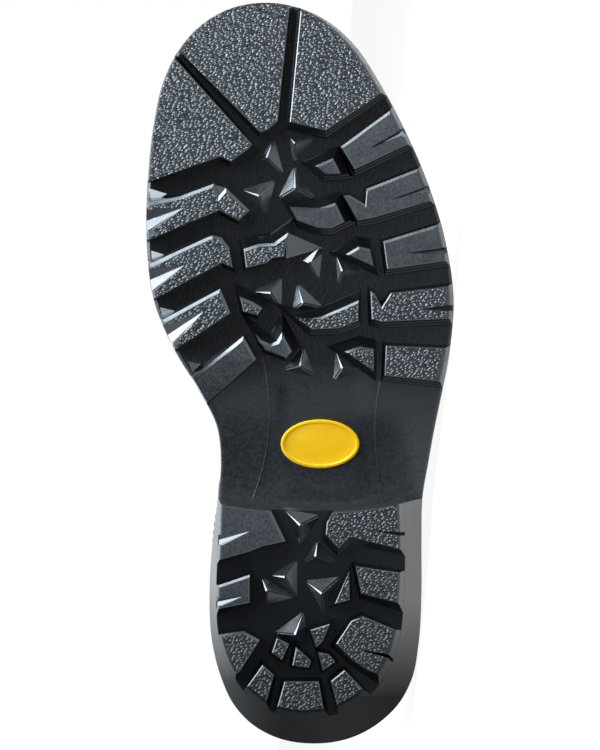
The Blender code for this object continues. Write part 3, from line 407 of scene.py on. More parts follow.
UPPER_LEATHER = leather_finish("upper_leather", (0.0050, 0.0045, 0.0042), (0.0095, 0.0083, 0.0074), 900.0,
                               0.16, 0.42)
FACING_LEATHER = leather_finish("facing_leather", (0.0060, 0.0054, 0.0050), (0.0110, 0.0097, 0.0087), 760.0,
                                0.20, 0.44)
WELT_LEATHER = leather_finish("welt_leather", (0.0070, 0.0060, 0.0052), (0.0130, 0.0110, 0.0092), 1200.0,
                              0.1, 0.5)
LINING = leather_finish("lining_leather", (0.23, 0.15, 0.085), (0.32, 0.22, 0.13), 800.0, 0.12, 0.62)
BOARD = leather_finish("insole_board", (0.30, 0.19, 0.10), (0.40, 0.27, 0.16), 1400.0, 0.1, 0.7)
THREAD = leather_finish("waxed_thread", (0.035, 0.031, 0.027), (0.060, 0.053, 0.046), 2600.0, 0.08, 0.6)
CORD = braid_finish()
BRASS = brass_finish()
AMBER = amber_finish()
print("finishes:", len(bpy.data.materials))

# %% [markdown]
# ## The shape of the sole
# The sole is moulded flat and then bent with the last: the toe springs up, the waist rises into the arch and
# the heel seat tips back. So every layer is drawn flat first, from one edge table, and `lift` bends it. The
# edge lines are the ones that the solids were cut from.

# %% Edge tables of the sole
SOLE_LENGTH = 292.8
LUG_HEIGHT = 8.0
SHEET = 5.5
TOE_SPRING = 9.0
SPRING_START = 205.0
ARCH_START = 152.0
ARCH_RISE = 26.0
BREAST = 98.0
SEAT_RISE = 4.0
BREAST_SAG = 3.0
GAP = 0.3

Edge = namedtuple("Edge", "station inner outer")
SOLE_EDGE = (
    Edge(0.0, -0.3, -0.3), Edge(2.5, -15.5, 15.0), Edge(8.0, -25.3, 25.2), Edge(16.0, -32.5, 33.4),
    Edge(26.0, -37.1, 38.6), Edge(40.0, -40.7, 41.2), Edge(60.0, -41.8, 42.3), Edge(80.0, -40.6, 42.3),
    Edge(98.0, -38.4, 42.7), Edge(112.0, -37.2, 44.9), Edge(126.0, -38.6, 47.2), Edge(140.0, -45.3, 49.9),
    Edge(156.0, -55.0, 52.8), Edge(175.0, -63.0, 54.3), Edge(199.0, -66.0, 51.1), Edge(222.0, -65.6, 44.1),
    Edge(245.0, -63.3, 34.0), Edge(262.0, -59.4, 24.8), Edge(275.0, -52.9, 16.3), Edge(284.0, -44.6, 7.0),
    Edge(290.0, -34.5, -4.0), Edge(292.8, -19.4, -19.4),
)
HEEL_EDGE = (
    Edge(14.8, -4.7, -4.7), Edge(16.0, -13.0, 5.0), Edge(19.0, -19.5, 12.5), Edge(25.0, -27.0, 20.5),
    Edge(33.0, -32.5, 26.5), Edge(45.0, -36.8, 31.0), Edge(60.0, -37.8, 32.6), Edge(78.0, -37.3, 33.2),
    Edge(96.0, -36.8, 32.6),
)
print("edge stations:", len(SOLE_EDGE), "of the sole,", len(HEEL_EDGE), "of the heel")

# %% How the sole bends


def smooth_step(share):
    share = np.clip(share, 0.0, 1.0)
    return share * share * (3.0 - 2.0 * share)


def lift(x):
    """How far the sole is bent up from flat at a station: toe spring, arch and heel seat."""
    x = np.asarray(x, float)
    spring = np.clip((x - SPRING_START) / (SOLE_LENGTH - SPRING_START), 0.0, 1.1) ** 2
    arch = smooth_step((ARCH_START - x) / (ARCH_START - BREAST + 4.0))
    seat = np.clip((BREAST - x) / BREAST, 0.0, 1.1)
    return TOE_SPRING * spring + ARCH_RISE * arch + SEAT_RISE * seat


print("lift at toe and heel:", round(float(lift(SOLE_LENGTH)), 1), round(float(lift(0.0)), 1), "mm")

# %% Smooth lines in even steps
PER_SPAN = 20


def smooth_through(points, closed=False, per_span=PER_SPAN):
    """A dense smooth line through points."""
    p = np.array(points, float)
    before = np.roll(p, 1, axis=0)
    after = np.roll(p, -1, axis=0)
    if not closed:
        before[0] = 2 * p[0] - p[1]
        after[-1] = 2 * p[-1] - p[-2]
    back = np.linalg.norm(p - before, axis=1)[:, None]
    ahead = np.linalg.norm(after - p, axis=1)[:, None]
    slope = ((p - before) / back * ahead + (after - p) / ahead * back) / (back + ahead)
    line = []
    for i in range(len(p) if closed else len(p) - 1):
        j = (i + 1) % len(p)
        f = np.linspace(0.0, 1.0, per_span, endpoint=False)[:, None]
        start = (1 + 2 * f) * (1 - f) ** 2 * p[i] + f * (1 - f) ** 2 * slope[i] * ahead[i]
        line.append(start + f * f * (3 - 2 * f) * p[j] + f * f * (f - 1) * slope[j] * ahead[i])
    if not closed:
        line.append(p[-1:])
    return np.concatenate(line)


def travelled(line):
    """How far along a line each of its points lies."""
    return np.concatenate([[0.0], np.cumsum(np.linalg.norm(np.diff(line, axis=0), axis=1))])


def even_steps(line, count):
    """The same line in equal steps."""
    along = travelled(line)
    at = np.linspace(0.0, along[-1], count + 1)
    return np.stack([np.interp(at, along, line[:, k]) for k in range(line.shape[1])], axis=1)


print("points in each span of a line:", PER_SPAN)

# %% Edges of the sole and of the heel


def sole_sides(margin, count):
    """Inner and outer edge of the sole from heel to toe, drawn in by a margin, which may vary with place."""
    inner = [(row.station, row.inner) for row in SOLE_EDGE]
    outer = [(row.station, row.outer) for row in SOLE_EDGE[-2:0:-1]]
    loop = smooth_through(inner + outer, True)
    along = np.roll(loop, -1, axis=0) - np.roll(loop, 1, axis=0)
    along /= np.linalg.norm(along, axis=1)[:, None]
    inward = np.stack([-along[:, 1], along[:, 0]], axis=1)
    depth = margin(loop[:, 0], loop[:, 1]) if callable(margin) else np.full(len(loop), margin)
    loop = loop + inward * depth[:, None]
    toe = (len(SOLE_EDGE) - 1) * PER_SPAN
    outer_side = np.concatenate([loop[toe:], loop[:1]])[::-1]
    return even_steps(loop[: toe + 1], count), even_steps(outer_side, count)


def heel_side(column, count):
    """One edge of the heel on the ground and the seat edge above it, both from back to breast."""
    ground_line = smooth_through([(row.station, getattr(row, column)) for row in HEEL_EDGE])
    inner, outer = sole_sides(0.0, 600)
    seat = inner if column == "inner" else outer
    return even_steps(ground_line, count), even_steps(seat[seat[:, 0] <= BREAST], count)


def close_breast(inner, outer, setback=0.0, across=90):
    """Two sides of the heel as one loop, with the sagging line of its breast between them."""
    way = np.linspace(0.0, 1.0, across)[1:-1, None]
    front = inner[-1] * (1 - way) + outer[-1] * way
    front[:, 0] -= BREAST_SAG * (1 - (2 * way[:, 0] - 1) ** 2) + setback
    return np.concatenate([inner, front, outer[:0:-1]])


def heel_loop(height, setback=0.0, count=150):
    """Closed edge of the heel at a height above the ground."""
    sides = []
    for column, away in (("inner", 1.0), ("outer", -1.0)):
        low, seat = heel_side(column, count)
        share = height / (LUG_HEIGHT + lift(seat[:, :1]))
        side = low + (seat - low) * share
        along = np.gradient(side, axis=0)
        along /= np.linalg.norm(along, axis=1)[:, None]
        sides.append(side + away * setback * np.stack([-along[:, 1], along[:, 0]], axis=1))
    return close_breast(*sides, setback)


edge_inner, edge_outer = sole_sides(0.0, 200)
print("sole", SOLE_LENGTH, "mm long,", round(float((edge_outer - edge_inner)[:, 1].max()), 1), "mm wide")

# %% [markdown]
# ## Turning points into pieces
# A piece is a mesh in boot millimetres, moved into the row at the end with its place in its vertices. Sharp
# edges are marked by angle, so flats stay flat and rounded edges shade as round. Each piece rides on the one
# body and stands for its solid.

# %% From mesh to finished piece
SHARP_ANGLE = 18.0
SOFT_ANGLE = 50.0


def new_mesh_object(name, bm, finishes, smooth_angle=30.0):
    """An object from a mesh in boot millimetres."""
    bmesh.ops.transform(bm, matrix=ROW, verts=bm.verts)
    mesh = bpy.data.meshes.new(name)
    bm.to_mesh(mesh)
    bm.free()
    for finish in finishes:
        mesh.materials.append(finish)
    mesh.shade_smooth()
    mesh.set_sharp_from_angle(angle=math.radians(smooth_angle))
    obj = bpy.data.objects.new(name, mesh)
    studio.collection.objects.link(obj)
    return obj


def dress(obj, slot, *nodes):
    """Says which solids a piece stands for, and prints its size."""
    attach(obj, "root")
    if nodes:
        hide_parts(*nodes)
    print(obj.name, "faces:", len(obj.data.polygons), "for", ", ".join(nodes) or "looks alone")
    return obj


def skin_rings(bm, rings, close_ends=False):
    """Joins closed rings of points, one after the other, into a wall."""
    made = [[bm.verts.new(p) for p in ring] for ring in rings]
    for low, high in zip(made, made[1:]):
        for i in range(len(low)):
            j = (i + 1) % len(low)
            bm.faces.new((low[i], low[j], high[j], high[i]))
    if close_ends:
        bm.faces.new(made[0][::-1])
        bm.faces.new(made[-1])
    return made


def two_sides(ring, rows):
    """Inner and outer side of a ring round the sole, both from heel to toe."""
    return ring[: rows + 1], [ring[0]] + ring[:rows - 1:-1]


def add_face(bm, corners, finish=0):
    """A face of those corners that differ, where at least three do."""
    corners = [v for k, v in enumerate(corners) if v is not corners[k - 1]]
    if len(corners) > 2:
        bm.faces.new(corners).material_index = finish


def apply_modifiers(obj):
    """Makes an object's mesh what its modifiers show, and drops them."""
    shown = obj.evaluated_get(bpy.context.evaluated_depsgraph_get())
    mesh = bpy.data.meshes.new_from_object(shown)
    obj.modifiers.clear()
    old = obj.data
    obj.data = mesh
    bpy.data.meshes.remove(old)
    return obj


def join_solids(obj, helper):
    """Adds a helper's solid to an object for good. Broad faces then set the shading, so they look flat."""
    union = obj.modifiers.new("join", "BOOLEAN")
    union.operation = "UNION"
    union.solver = "EXACT"
    union.use_self = True
    union.object = helper
    apply_modifiers(obj)
    bpy.data.objects.remove(helper)
    obj.data.shade_smooth()
    obj.data.set_sharp_from_angle(angle=math.radians(SHARP_ANGLE))
    flat_faces = obj.modifiers.new("flat faces", "WEIGHTED_NORMAL")
    flat_faces.keep_sharp = True
    return apply_modifiers(obj)


print("edges stay sharp from", SHARP_ANGLE, "degrees on rubber and", SOFT_ANGLE, "on soft pieces")

# %% [markdown]
# ## The tread
# A lug sole grips with deep blocks. On this one the blocks along the edges run out to the rim, a second row
# of smaller ones stands inside them, and pointed studs fill the middle. The walking faces that take most wear
# are pebbled by the mould and the others are left smooth. Each block is a stack of rings: the walking face,
# a rounded or bevelled edge, a drafted wall and, on the outer rows, two low ledges towards the heel.

# %% Tables of the tread
Sipe = namedtuple("Sipe", "mouth tip width")
Lug = namedtuple("Lug", "label runs_out corners sipe fade", defaults=(None, None))
FOREFOOT_LUGS = (
    Lug("toe inner", True, ((269.5, -55), (236.5, -24.5), (234.5, -26), (229.5, -33), (231.5, -37),
                            (222, -65.5))),
    Lug("toe middle", True, ((290, -10), (245.5, -14.5), (242, -18.5), (241, -21.5), (272.5, -53))),
    Lug("toe outer", True, ((257, 28.5), (241.5, 4), (245, -10), (290, -5.5))),
    Lug("outer 1", True, ((250, 31), (235.5, 10), (226.5, 15.5), (236.5, 38)),
        Sipe((241.5, 35.5), (235, 21.5), 2.6)),
    Lug("outer 2", True, ((227, 42), (219, 20), (213, 19.5), (216.5, 13.5), (216.5, 11), (206.5, 16.5),
                          (207.5, 22.5), (214.5, 46)), Sipe((219, 45), (215, 30), 2.2)),
    Lug("outer 3", True, ((205, 49), (198.5, 26.5), (187.5, 28), (191, 52.5)),
        Sipe((195, 51.5), (194, 36), 1.9)),
    Lug("outer 4", True, ((181, 54), (178.5, 29.5), (173, 26), (178, 23.5), (179.5, 21.5), (168, 22),
                          (167, 25.5), (168, 54)), Sipe((172, 54), (172, 41.5), 1.6)),
    Lug("outer 5", True, ((156.5, 53), (158, 27.5), (146, 27), (145, 37), (143.5, 50.5))),
    Lug("second outer 1", False, ((228, 0), (231, 7), (225, 10), (224.5, 4))),
    Lug("second outer 2", False, ((212, -10), (211.5, 1.5), (213.5, 8), (206, 11.5), (203.5, 6.5),
                                  (203.5, 1), (206.5, -7))),
    Lug("second outer 3", False, ((193.5, 12), (196.5, 17), (195.5, 21.5), (188.5, 23))),
    Lug("second outer 4", False, ((170, -9), (168, -5), (169, 2), (172, 9), (175.5, 17), (167.5, 17),
                                  (164.5, 9.5), (164, -1.5))),
    Lug("second outer 5", False, ((155.5, 11.5), (157.5, 17.5), (156.5, 23), (147.5, 23))),
    Lug("inner 1", True, ((213.3, -66), (216, -53), (221, -39.5), (216.2, -37.6), (219.4, -34.8),
                          (210.5, -25.5), (206.5, -30), (210.5, -37.5), (198.5, -66)),
        Sipe((206.4, -66), (211.8, -51.3), 8.8)),
    Lug("inner 2", True, ((189, -65.3), (201, -40), (200, -36.5), (196, -33.5), (188, -32), (190, -36.5),
                          (175.5, -63.5)), Sipe((183.3, -64.5), (189.4, -50.9), 8.2)),
    Lug("inner 3", True, ((167, -60), (180, -37), (170.5, -33), (155.5, -55)),
        Sipe((161.7, -57.8), (171.4, -43.4), 7.8)),
    Lug("inner 4", True, ((145, -48), (161.5, -28), (152.5, -23), (135, -43)), None, 2.0),
    Lug("second inner 2", False, ((195.5, -28), (197.5, -22), (198, -16), (202, -10.5), (192.5, -12),
                                  (192, -16.5), (190, -19), (188, -27))),
    Lug("second inner 3", False, ((177, -29.5), (175, -24.5), (172.5, -20.5), (169.5, -22.5), (171, -28))),
    Lug("second inner 4", False, ((164, -24.5), (160, -21), (158.5, -17.5), (159.5, -15), (163, -13),
                                  (155.5, -9), (153, -11.5), (156, -19.5))),
)
HEEL_LUGS = (
    Lug("heel inner 1", True, ((94, -17), (81.5, -11.5), (79.5, -20.5), (77.5, -25.5), (74.5, -37)),
        Sipe((82, -37), (85.5, -25.5), 3.6)),
    Lug("heel inner 2", True, ((64.5, -37.5), (68.5, -25.5), (57.5, -25.5), (55, -37.5)),
        Sipe((58, -37.5), (60, -28.5), 3.2)),
    Lug("heel inner 3", True, ((45, -37), (46.5, -28), (43, -21.5), (30.5, -29.5), (30.5, -31.5))),
    Lug("heel back 1", True, ((25, -27), (33.5, -20.5), (29.5, -16), (19, -19))),
    Lug("heel back 2", True, ((16, -15), (27, -12), (27, 1.5), (15.5, 3.5))),
    Lug("heel back 3", True, ((17, 8.5), (27, 6), (31.5, 11.5), (24, 19))),
    Lug("heel outer 3", True, ((29.5, 24.5), (31, 20.5), (35, 14.5), (41.5, 8), (50.5, 14), (52.5, 18.5),
                               (47, 31.5)), Sipe((37, 28.5), (39.5, 16.5), 1.8)),
    Lug("heel outer 2", True, ((57.5, 32.5), (61, 18), (72, 15.5), (69.5, 33))),
    Lug("heel outer 1", True, ((78.5, 33), (81, 21.5), (83, 13.5), (78.5, 9), (84, 4), (89, 4.5),
                               (92.5, 6.5)), Sipe((84.5, 33), (85.5, 23.5), 1.8)),
    Lug("heel stud 1", False, ((70.5, 13.5), (57, 7.5), (58.5, 13.5))),
    Lug("heel stud 2", False, ((47, -2), (49.5, 6), (42.5, 3), (40, 0.5))),
    Lug("heel stud 3", False, ((44, -15), (41.5, -10), (35, -13), (38, -17))),
    Lug("heel stud 4", False, ((40.5, -7.5), (35, -1.5), (32, -2.5), (33, -9))),
    Lug("heel stud 5", False, ((38.5, 1), (37.5, 5.5), (34.5, 8), (31, 3))),
)
Stud = namedtuple("Stud", "front side back point depth", defaults=(5.0,))
FOREFOOT_STUDS = (
    Stud((239, -16), (224.5, -12), (230.5, -22), (231.5, -19)),
    Stud((239.5, -10), (239.5, 0), (229.5, -8.5), (237, -8)),
    Stud((228.5, -8), (215.5, -14.5), (215, 0.5), (219.5, -8)),
    Stud((219, -29), (223, -15.5), (208.5, -19), (216.5, -22)),
    Stud((191.5, -5.5), (195, 3), (183.5, 1.5), (190.5, -2.5)),
    Stud((179, -24.5), (185, -13), (172, -13), (178.5, -17.5)),
    Stud((182.5, -7), (171.5, -9), (172.5, 4), (174.5, -5)),
    Stud((157.5, -4.5), (148.5, -12.5), (145.5, 0.5), (150, -6)),
    Stud((194, 8), (182, 9), (186.5, 19), (187, 10.5)),
    Stud((156, 8), (144, 7), (148.5, 19), (149, 10.5)),
    Stud((201, -9.5), (196, 1.5), (193, -11), (196.5, -9.5)),
)
HEEL_STUDS = (
    Stud((94, -12.5), (91.5, 2), (79.5, -5.5), (87.7, -5.9), 4.0),
    Stud((82, 1), (73, -4.5), (72.5, 8.5), (75.5, 0), 4.4),
    Stud((68, -17.5), (74.5, -7), (59, -7), (67.5, -12), 4.4),
    Stud((66, -4), (67.5, 10), (53, 3.5), (61, 2.5), 4.4),
    Stud((54, -4.5), (45.5, -16), (39.5, -2), (45, -8), 3.6),
    Stud((67.5, -21), (59.5, -7.5), (56.5, -19), (62, -19), 4.4),
)
FOREFOOT_FACETS = (
    ((219.6, -65.4, 8.3), (213.3, -65.0, 8.3), (217.2, -57.9, 5.0)),
    ((195.3, -64.8, 8.3), (188.7, -64.4, 8.3), (193.0, -57.5, 5.0)),
    ((173.0, -61.3, 8.3), (167.1, -59.9, 8.3), (171.4, -54.4, 5.0)),
    ((151.9, -50.5, 8.3), (147.2, -48.5, 8.3), (150.7, -44.6, 5.2)),
    ((220.8, -39.7, 1.7), (219.4, -34.6, 1.7), (215.5, -37.6, 0.45)),
    ((202.0, -11.0, 0.4), (191.8, -11.4, 0.4), (196.1, 3.1, 7.8)),
    ((191.0, -5.1, 5.8), (195.7, 1.2, 5.5), (190.6, -1.6, 4.6)),
)
SMOOTH_FACED = ("outer 1", "outer 2", "outer 3", "second outer 1", "second outer 2", "second outer 3",
                "inner 4", "second inner 4", "heel inner 1", "heel inner 2")
SATIN_AT, PEBBLE_AT, SHADED_GROOVE_AT, EDGE_AT, BODY_AT = 0, 1, 2, 3, 4
print("lugs:", len(FOREFOOT_LUGS) + len(HEEL_LUGS), "studs:", len(FOREFOOT_STUDS) + len(HEEL_STUDS))

# %% [markdown]
# A lug that runs out to the rim takes its outer side from the rim itself, at every depth. Its other sides are
# moved out by a profile that depends on which way they face. So one function gives the top edge, rounded or
# bevelled, the draft, the slope that meets the toe on the second row, and the ledges of the outer rows.

# %% Profile of a lug's wall
FACE_EDGE = 0.5
RIM_EDGE = 1.3
DRAFT = 0.15
LUG_SINK = 0.7
HAIR = 0.01
TOE_SLOPE = 0.75
TOE_SLOPE_DEPTH = 4.0
FACES_TOE = 0.35
FACES_HEEL = -0.6
INNER_BEVEL = 2.4
OUTER_BEVEL = 1.9
BEVELLED = ("inner", "heel inner", "outer 1", "outer 2", "outer 3", "second")
LEDGES = (3.2, 5.7)
LEDGE_REACH = 0.6
DEPTHS = (0.0, 0.15, 0.5, 1.3, 3.2, 3.35, 4.0, 5.7, 5.85, 8.7)


def rounding(depth, radius):
    """How far an edge of that radius is drawn in at a depth below the face."""
    return radius - math.sqrt(max(radius ** 2 - max(radius - depth, 0.0) ** 2, 0.0))


def wall_reach(depth, facing, row):
    """How far a lug's wall stands out at a depth, for a wall that faces this much towards the toe."""
    edge = rounding(depth, FACE_EDGE)
    if facing > FACES_TOE and row.startswith(BEVELLED):
        edge = (INNER_BEVEL if "inner" in row else OUTER_BEVEL) * max(FACE_EDGE - depth, 0.0)
    reach = DRAFT * max(depth - FACE_EDGE, 0.0) - edge
    if row.startswith("second") and facing > FACES_TOE:
        reach += TOE_SLOPE * min(max(depth - FACE_EDGE, 0.0), TOE_SLOPE_DEPTH)
    if "outer" in row and facing < FACES_HEEL:
        reach += LEDGE_REACH * sum(depth > ledge + HAIR for ledge in LEDGES)
    return reach


print("a plain wall stands out by", round(wall_reach(DEPTHS[-1], 0.0, "heel"), 2), "mm at its foot")

# %% Corners of a lug
NEARLY_STRAIGHT = 0.08
MOST_SHIFT = 2.2


def signed_area(points):
    x, y = np.array(points).T
    return 0.5 * float(np.sum(x * np.roll(y, -1) - y * np.roll(x, -1)))


def nearest(border, point):
    return int(np.argmin(np.linalg.norm(border - np.array(point), axis=1)))


def lug_ring(lug, border, step):
    """Corners of a lug, and for each the border point it lies on, or None. The sipe's sides are marked."""
    ring = [(np.array(corner, float), None, False) for corner in lug.corners]
    if not lug.runs_out:
        return ring
    size = len(border)
    pitch = np.linalg.norm(border[1] - border[0])
    start = nearest(border, lug.corners[-1])
    turn = (nearest(border, lug.corners[0]) - start + size // 2) % size - size // 2
    way = 1 if turn > 0 else -1
    every = max(1, round(step / pitch))
    keep = sorted({0, abs(turn)} | set(range(0, abs(turn) - every // 2, every)))
    ring = ring[1:-1]
    mouth = None
    if lug.sipe:
        middle = (nearest(border, lug.sipe.mouth) - start) * way % size
        half = lug.sipe.width / 2 / pitch
        mouth = (round(middle - half), round(middle + half))
        keep = sorted([k for k in keep if abs(k - middle) > half + 1] + list(mouth))
    for k in keep:
        at = (start + way * k) % size
        ring.append((border[at], at, bool(mouth) and k in mouth))
        if mouth and k == mouth[0]:
            ring.append((np.array(lug.sipe.tip, float), None, True))
    return ring


def corner_shift(before, after, out_before, out_after):
    """Where a corner goes when the sides before and after it move out by their own reach."""
    cross = out_before[0] * out_after[1] - out_before[1] * out_after[0]
    if abs(cross) < NEARLY_STRAIGHT:
        return (out_before * before + out_after * after) / 2
    ahead = before * out_after[1] - after * out_before[1]
    aside = after * out_before[0] - before * out_after[0]
    shift = np.array([ahead, aside]) / cross
    most = MOST_SHIFT * max(abs(before), abs(after), 0.2)
    return shift * min(1.0, most / max(np.linalg.norm(shift), 1e-9))


print("most corners in a lug:", max(len(lug.corners) for lug in FOREFOOT_LUGS + HEEL_LUGS))

# %% Rings of one lug
RIM_STEP = 2.0
SIPE_EDGE = 0.4
FADE_FROM = 0.75
FADE_RUN = 0.6


def lug_levels(lug, borders):
    """Rings of one lug from its walking face up into the sheet."""
    ring = lug_ring(lug, borders[0], RIM_STEP)
    if signed_area([p for p, _, _ in ring]) < 0:
        ring = ring[::-1]
    count = len(ring)
    flat = np.array([p for p, _, _ in ring])
    along = np.roll(flat, -1, axis=0) - flat
    along /= np.linalg.norm(along, axis=1)[:, None]
    out = np.stack([along[:, 1], -along[:, 0]], axis=1)
    ends = [(ring[i], ring[(i + 1) % count]) for i in range(count)]
    in_sipe = [a[2] and b[2] for a, b in ends]
    on_rim = [None not in (a[1], b[1]) and not cut for (a, b), cut in zip(ends, in_sipe)]
    levels = []
    for depth, border in zip(DEPTHS, borders):
        reach = []
        for i in range(count):
            if on_rim[i]:
                reach.append(0.0)
            elif in_sipe[i]:
                reach.append(SIPE_EDGE * wall_reach(min(depth, FACE_EDGE), 0.0, ""))
            else:
                reach.append(wall_reach(depth, out[i][0], lug.label))
        points = []
        for i, (point, at, _) in enumerate(ring):
            if at is None:
                points.append(point + corner_shift(reach[i - 1], reach[i], out[i - 1], out[i]))
                continue
            size = len(border)
            step = border[(at + 1) % size] - border[at]
            pitch = np.linalg.norm(step)
            way = 1.0 if float(step @ along[i - 1 if on_rim[i - 1] else i]) > 0 else -1.0
            go = 0.0
            if not on_rim[i]:
                go = way * reach[i] / pitch
            elif not on_rim[i - 1]:
                go = -way * reach[i - 1] / pitch
            spot = at + go
            low = math.floor(spot)
            here, there = border[low % size], border[(low + 1) % size]
            points.append(here + (there - here) * (spot - low))
        levels.append(np.array(points))
    return levels, on_rim


def lug_heights(lug, levels):
    """Height of each point of a lug's walking face. The last inner lug fades into the waist."""
    if lug.fade is None:
        return np.zeros(len(levels[0]))
    x = levels[0][:, 0]
    front = (x - x.min()) / np.ptp(x)
    return (LUG_HEIGHT - lug.fade) * smooth_step((FADE_FROM - front) / FADE_RUN)


def add_lug(bm, lug, borders):
    """One block, with the finish of its face, its walls and its side at the rim."""
    levels, on_rim = lug_levels(lug, borders)
    face = lug_heights(lug, levels)
    rings = []
    for depth, level in zip(DEPTHS, levels):
        height = face + (DEPTHS[-1] - face) * depth / DEPTHS[-1]
        rings.append([(*p, z) for p, z in zip(level, height)])
    made = skin_rings(bm, rings, close_ends=True)
    finish = SATIN_AT if lug.label in SMOOTH_FACED else PEBBLE_AT
    rim_finish = {"heel": BODY_AT, "toe": PEBBLE_AT}.get(lug.label.split()[0], SATIN_AT)
    for depth, low, high in zip(DEPTHS, made, made[1:]):
        # Walls below the face edge take the groove finish, whose darker colour is painted shade.
        wall_finish = SHADED_GROOVE_AT if depth > FACE_EDGE - HAIR else EDGE_AT
        for i, at_rim in enumerate(on_rim):
            for face in set(low[i].link_faces) & set(high[(i + 1) % len(low)].link_faces):
                face.material_index = rim_finish if at_rim else wall_finish
    top = set(made[0])
    for face in {face for vert in made[0] for face in vert.link_faces}:
        if all(vert in top for vert in face.verts):
            face.material_index = finish


print("rings in a lug:", len(DEPTHS))

# %% [markdown]
# Small sloped facets finish the tread. Two of them make the V of a cut in a lug, a sliver makes the worn
# ridge of a stud, and a few stand alone beside the lugs. They could be bevels of the blocks, but a post of
# its own can lean towards the toe and the inner side, where the light stands.

# %% Facets, notches, studs and ridges
RIDGE_WIDTH = 0.8
RIDGE_SLOPE = 0.466
RIDGE_SHARE = 0.85
RIDGE_PROUD = 0.15
STUD_BLUNT = 0.55
TOE_AND_INNER = np.array((0.75, -0.66))
Notch = namedtuple("Notch", "lean lip end")
WIDE_NOTCH = Notch(0.0, 0.6, 0.12)
THIN_NOTCH = Notch(0.5, 0.3, 0.9)
WIDE_SIPE = 3.0
NOTCH_SLOPE = 0.25
NOTCH_DEPTH = 0.6
NOTCH_MARGIN = 0.3
PAST_TIP = 0.05
NOTCH_BORDER = 4


def add_facet(bm, corners):
    """A small sloped facet: a three-sided post whose corners end at their own depths."""
    low = [bm.verts.new(corner) for corner in corners]
    high = [bm.verts.new((x, y, DEPTHS[-1])) for x, y, _ in corners]
    faces = [bm.faces.new(low), bm.faces.new(high[::-1])]
    faces += [bm.faces.new((low[i - 1], high[i - 1], high[i], low[i])) for i in range(3)]
    for face in faces:
        face.material_index = EDGE_AT
    bmesh.ops.recalc_face_normals(bm, faces=faces)


def add_notch(bm, sipe, border, notch):
    """The two sloped faces of a cut, with a valley that leans to one lip, and depths for lips and tip."""
    middle = nearest(border, sipe.mouth)
    pitch = np.linalg.norm(border[1] - border[0])
    half = round((sipe.width / 2 + NOTCH_MARGIN) / pitch)
    steps = (-half, -round(notch.lean * half), half)
    upper, valley, lower = (border[(middle + step) % len(border)] for step in steps)
    tip = (*(np.array(sipe.tip) + (np.array(sipe.tip) - valley) * PAST_TIP), notch.end)
    deep = NOTCH_DEPTH + NOTCH_SLOPE * sipe.width
    add_facet(bm, ((*upper, notch.lip), (*valley, deep), tip))
    add_facet(bm, ((*valley, deep), (*lower, notch.lip), tip))


def add_stud(bm, stud):
    """A three-sided point standing on the groove floor, its ridges slightly blunted."""
    foot = np.array(stud[:3], float)
    point = np.array(stud.point, float)
    reach = (LUG_HEIGHT + LUG_SINK - stud.depth) / (LUG_HEIGHT - stud.depth)
    foot = point + (foot - point) * reach
    high = [bm.verts.new((*p, LUG_HEIGHT + LUG_SINK)) for p in foot]
    tip = bm.verts.new((*point, stud.depth))
    faces = [bm.faces.new(high)] + [bm.faces.new((high[i - 1], tip, high[i])) for i in range(3)]
    for face in faces:
        face.material_index = EDGE_AT
    bmesh.ops.recalc_face_normals(bm, faces=faces)
    bmesh.ops.bevel(bm, geom=list(tip.link_edges), offset=STUD_BLUNT, segments=2, affect="EDGES")


def add_ridge(bm, stud):
    """The worn ridge on a stud's toe side: a sliver that leans to the toe and the inner side."""
    run = np.array(stud.front, float) - stud.point
    aside = np.array((-run[1], run[0])) * RIDGE_WIDTH / 2 / np.linalg.norm(run)
    corners = [np.array(stud.point) + step for step in (aside, -aside, RIDGE_SHARE * run)]
    top = stud.depth - RIDGE_PROUD
    depths = [top + RIDGE_SLOPE * float((corner - stud.point) @ TOE_AND_INNER) for corner in corners]
    add_facet(bm, [(*corner, depth) for corner, depth in zip(corners, depths)])


def tread(lugs, studs, borders, cuts, facets=()):
    """All lugs and studs of one moulding, sliced where the sole bends."""
    bm = bmesh.new()
    for lug in lugs:
        add_lug(bm, lug, borders)
        if lug.sipe and lug.sipe.width > WIDE_SIPE:
            add_notch(bm, lug.sipe, borders[NOTCH_BORDER], WIDE_NOTCH)
        elif lug.label in BEVELLED:
            add_notch(bm, lug.sipe, borders[NOTCH_BORDER], THIN_NOTCH)
    for stud in studs:
        add_stud(bm, stud)
        add_ridge(bm, stud)
    for corners in facets:
        add_facet(bm, corners)
    for x in cuts:
        geometry = bm.verts[:] + bm.edges[:] + bm.faces[:]
        bmesh.ops.bisect_plane(bm, geom=geometry, plane_co=(x, 0, 0), plane_no=(1, 0, 0))
    bmesh.ops.recalc_face_normals(bm, faces=bm.faces)
    bmesh.ops.triangulate(bm, faces=bm.faces)
    return bm


print("facets that stand alone:", len(FOREFOOT_FACETS))

# %% [markdown]
# ## Outsole
# The blocks stand on one rubber sheet that is left smooth at the waist, apart from a faint panel and two fine
# mould lines. The sheet is a stack of edge lines with rounded corners, closed above and below by a grid, and
# the tread is joined to it as one solid, the way it leaves the mould.

# %% Outsole
RIM_SETBACK = 0.6
OUTER_SLOPE = 1.4
SLOPE_FROM = -8.0
SLOPE_RUN = 26.0
RIM_POINTS = 640
BENDS = range(134, 292, 6)
SHEET_PROFILE = ((1.2, 0.0), (0.35, 0.35), (0.0, 1.2), (0.0, SHEET - 0.9), (0.26, SHEET - 0.26), (0.9, SHEET))
PANEL_X = (97.0, 146.0)
PANEL_MIDDLE = 2.5
PANEL_HALF = 17.5
PANEL_FADE = 3.0
TOE_FADE = 6.0
PANEL_RISE = 0.5


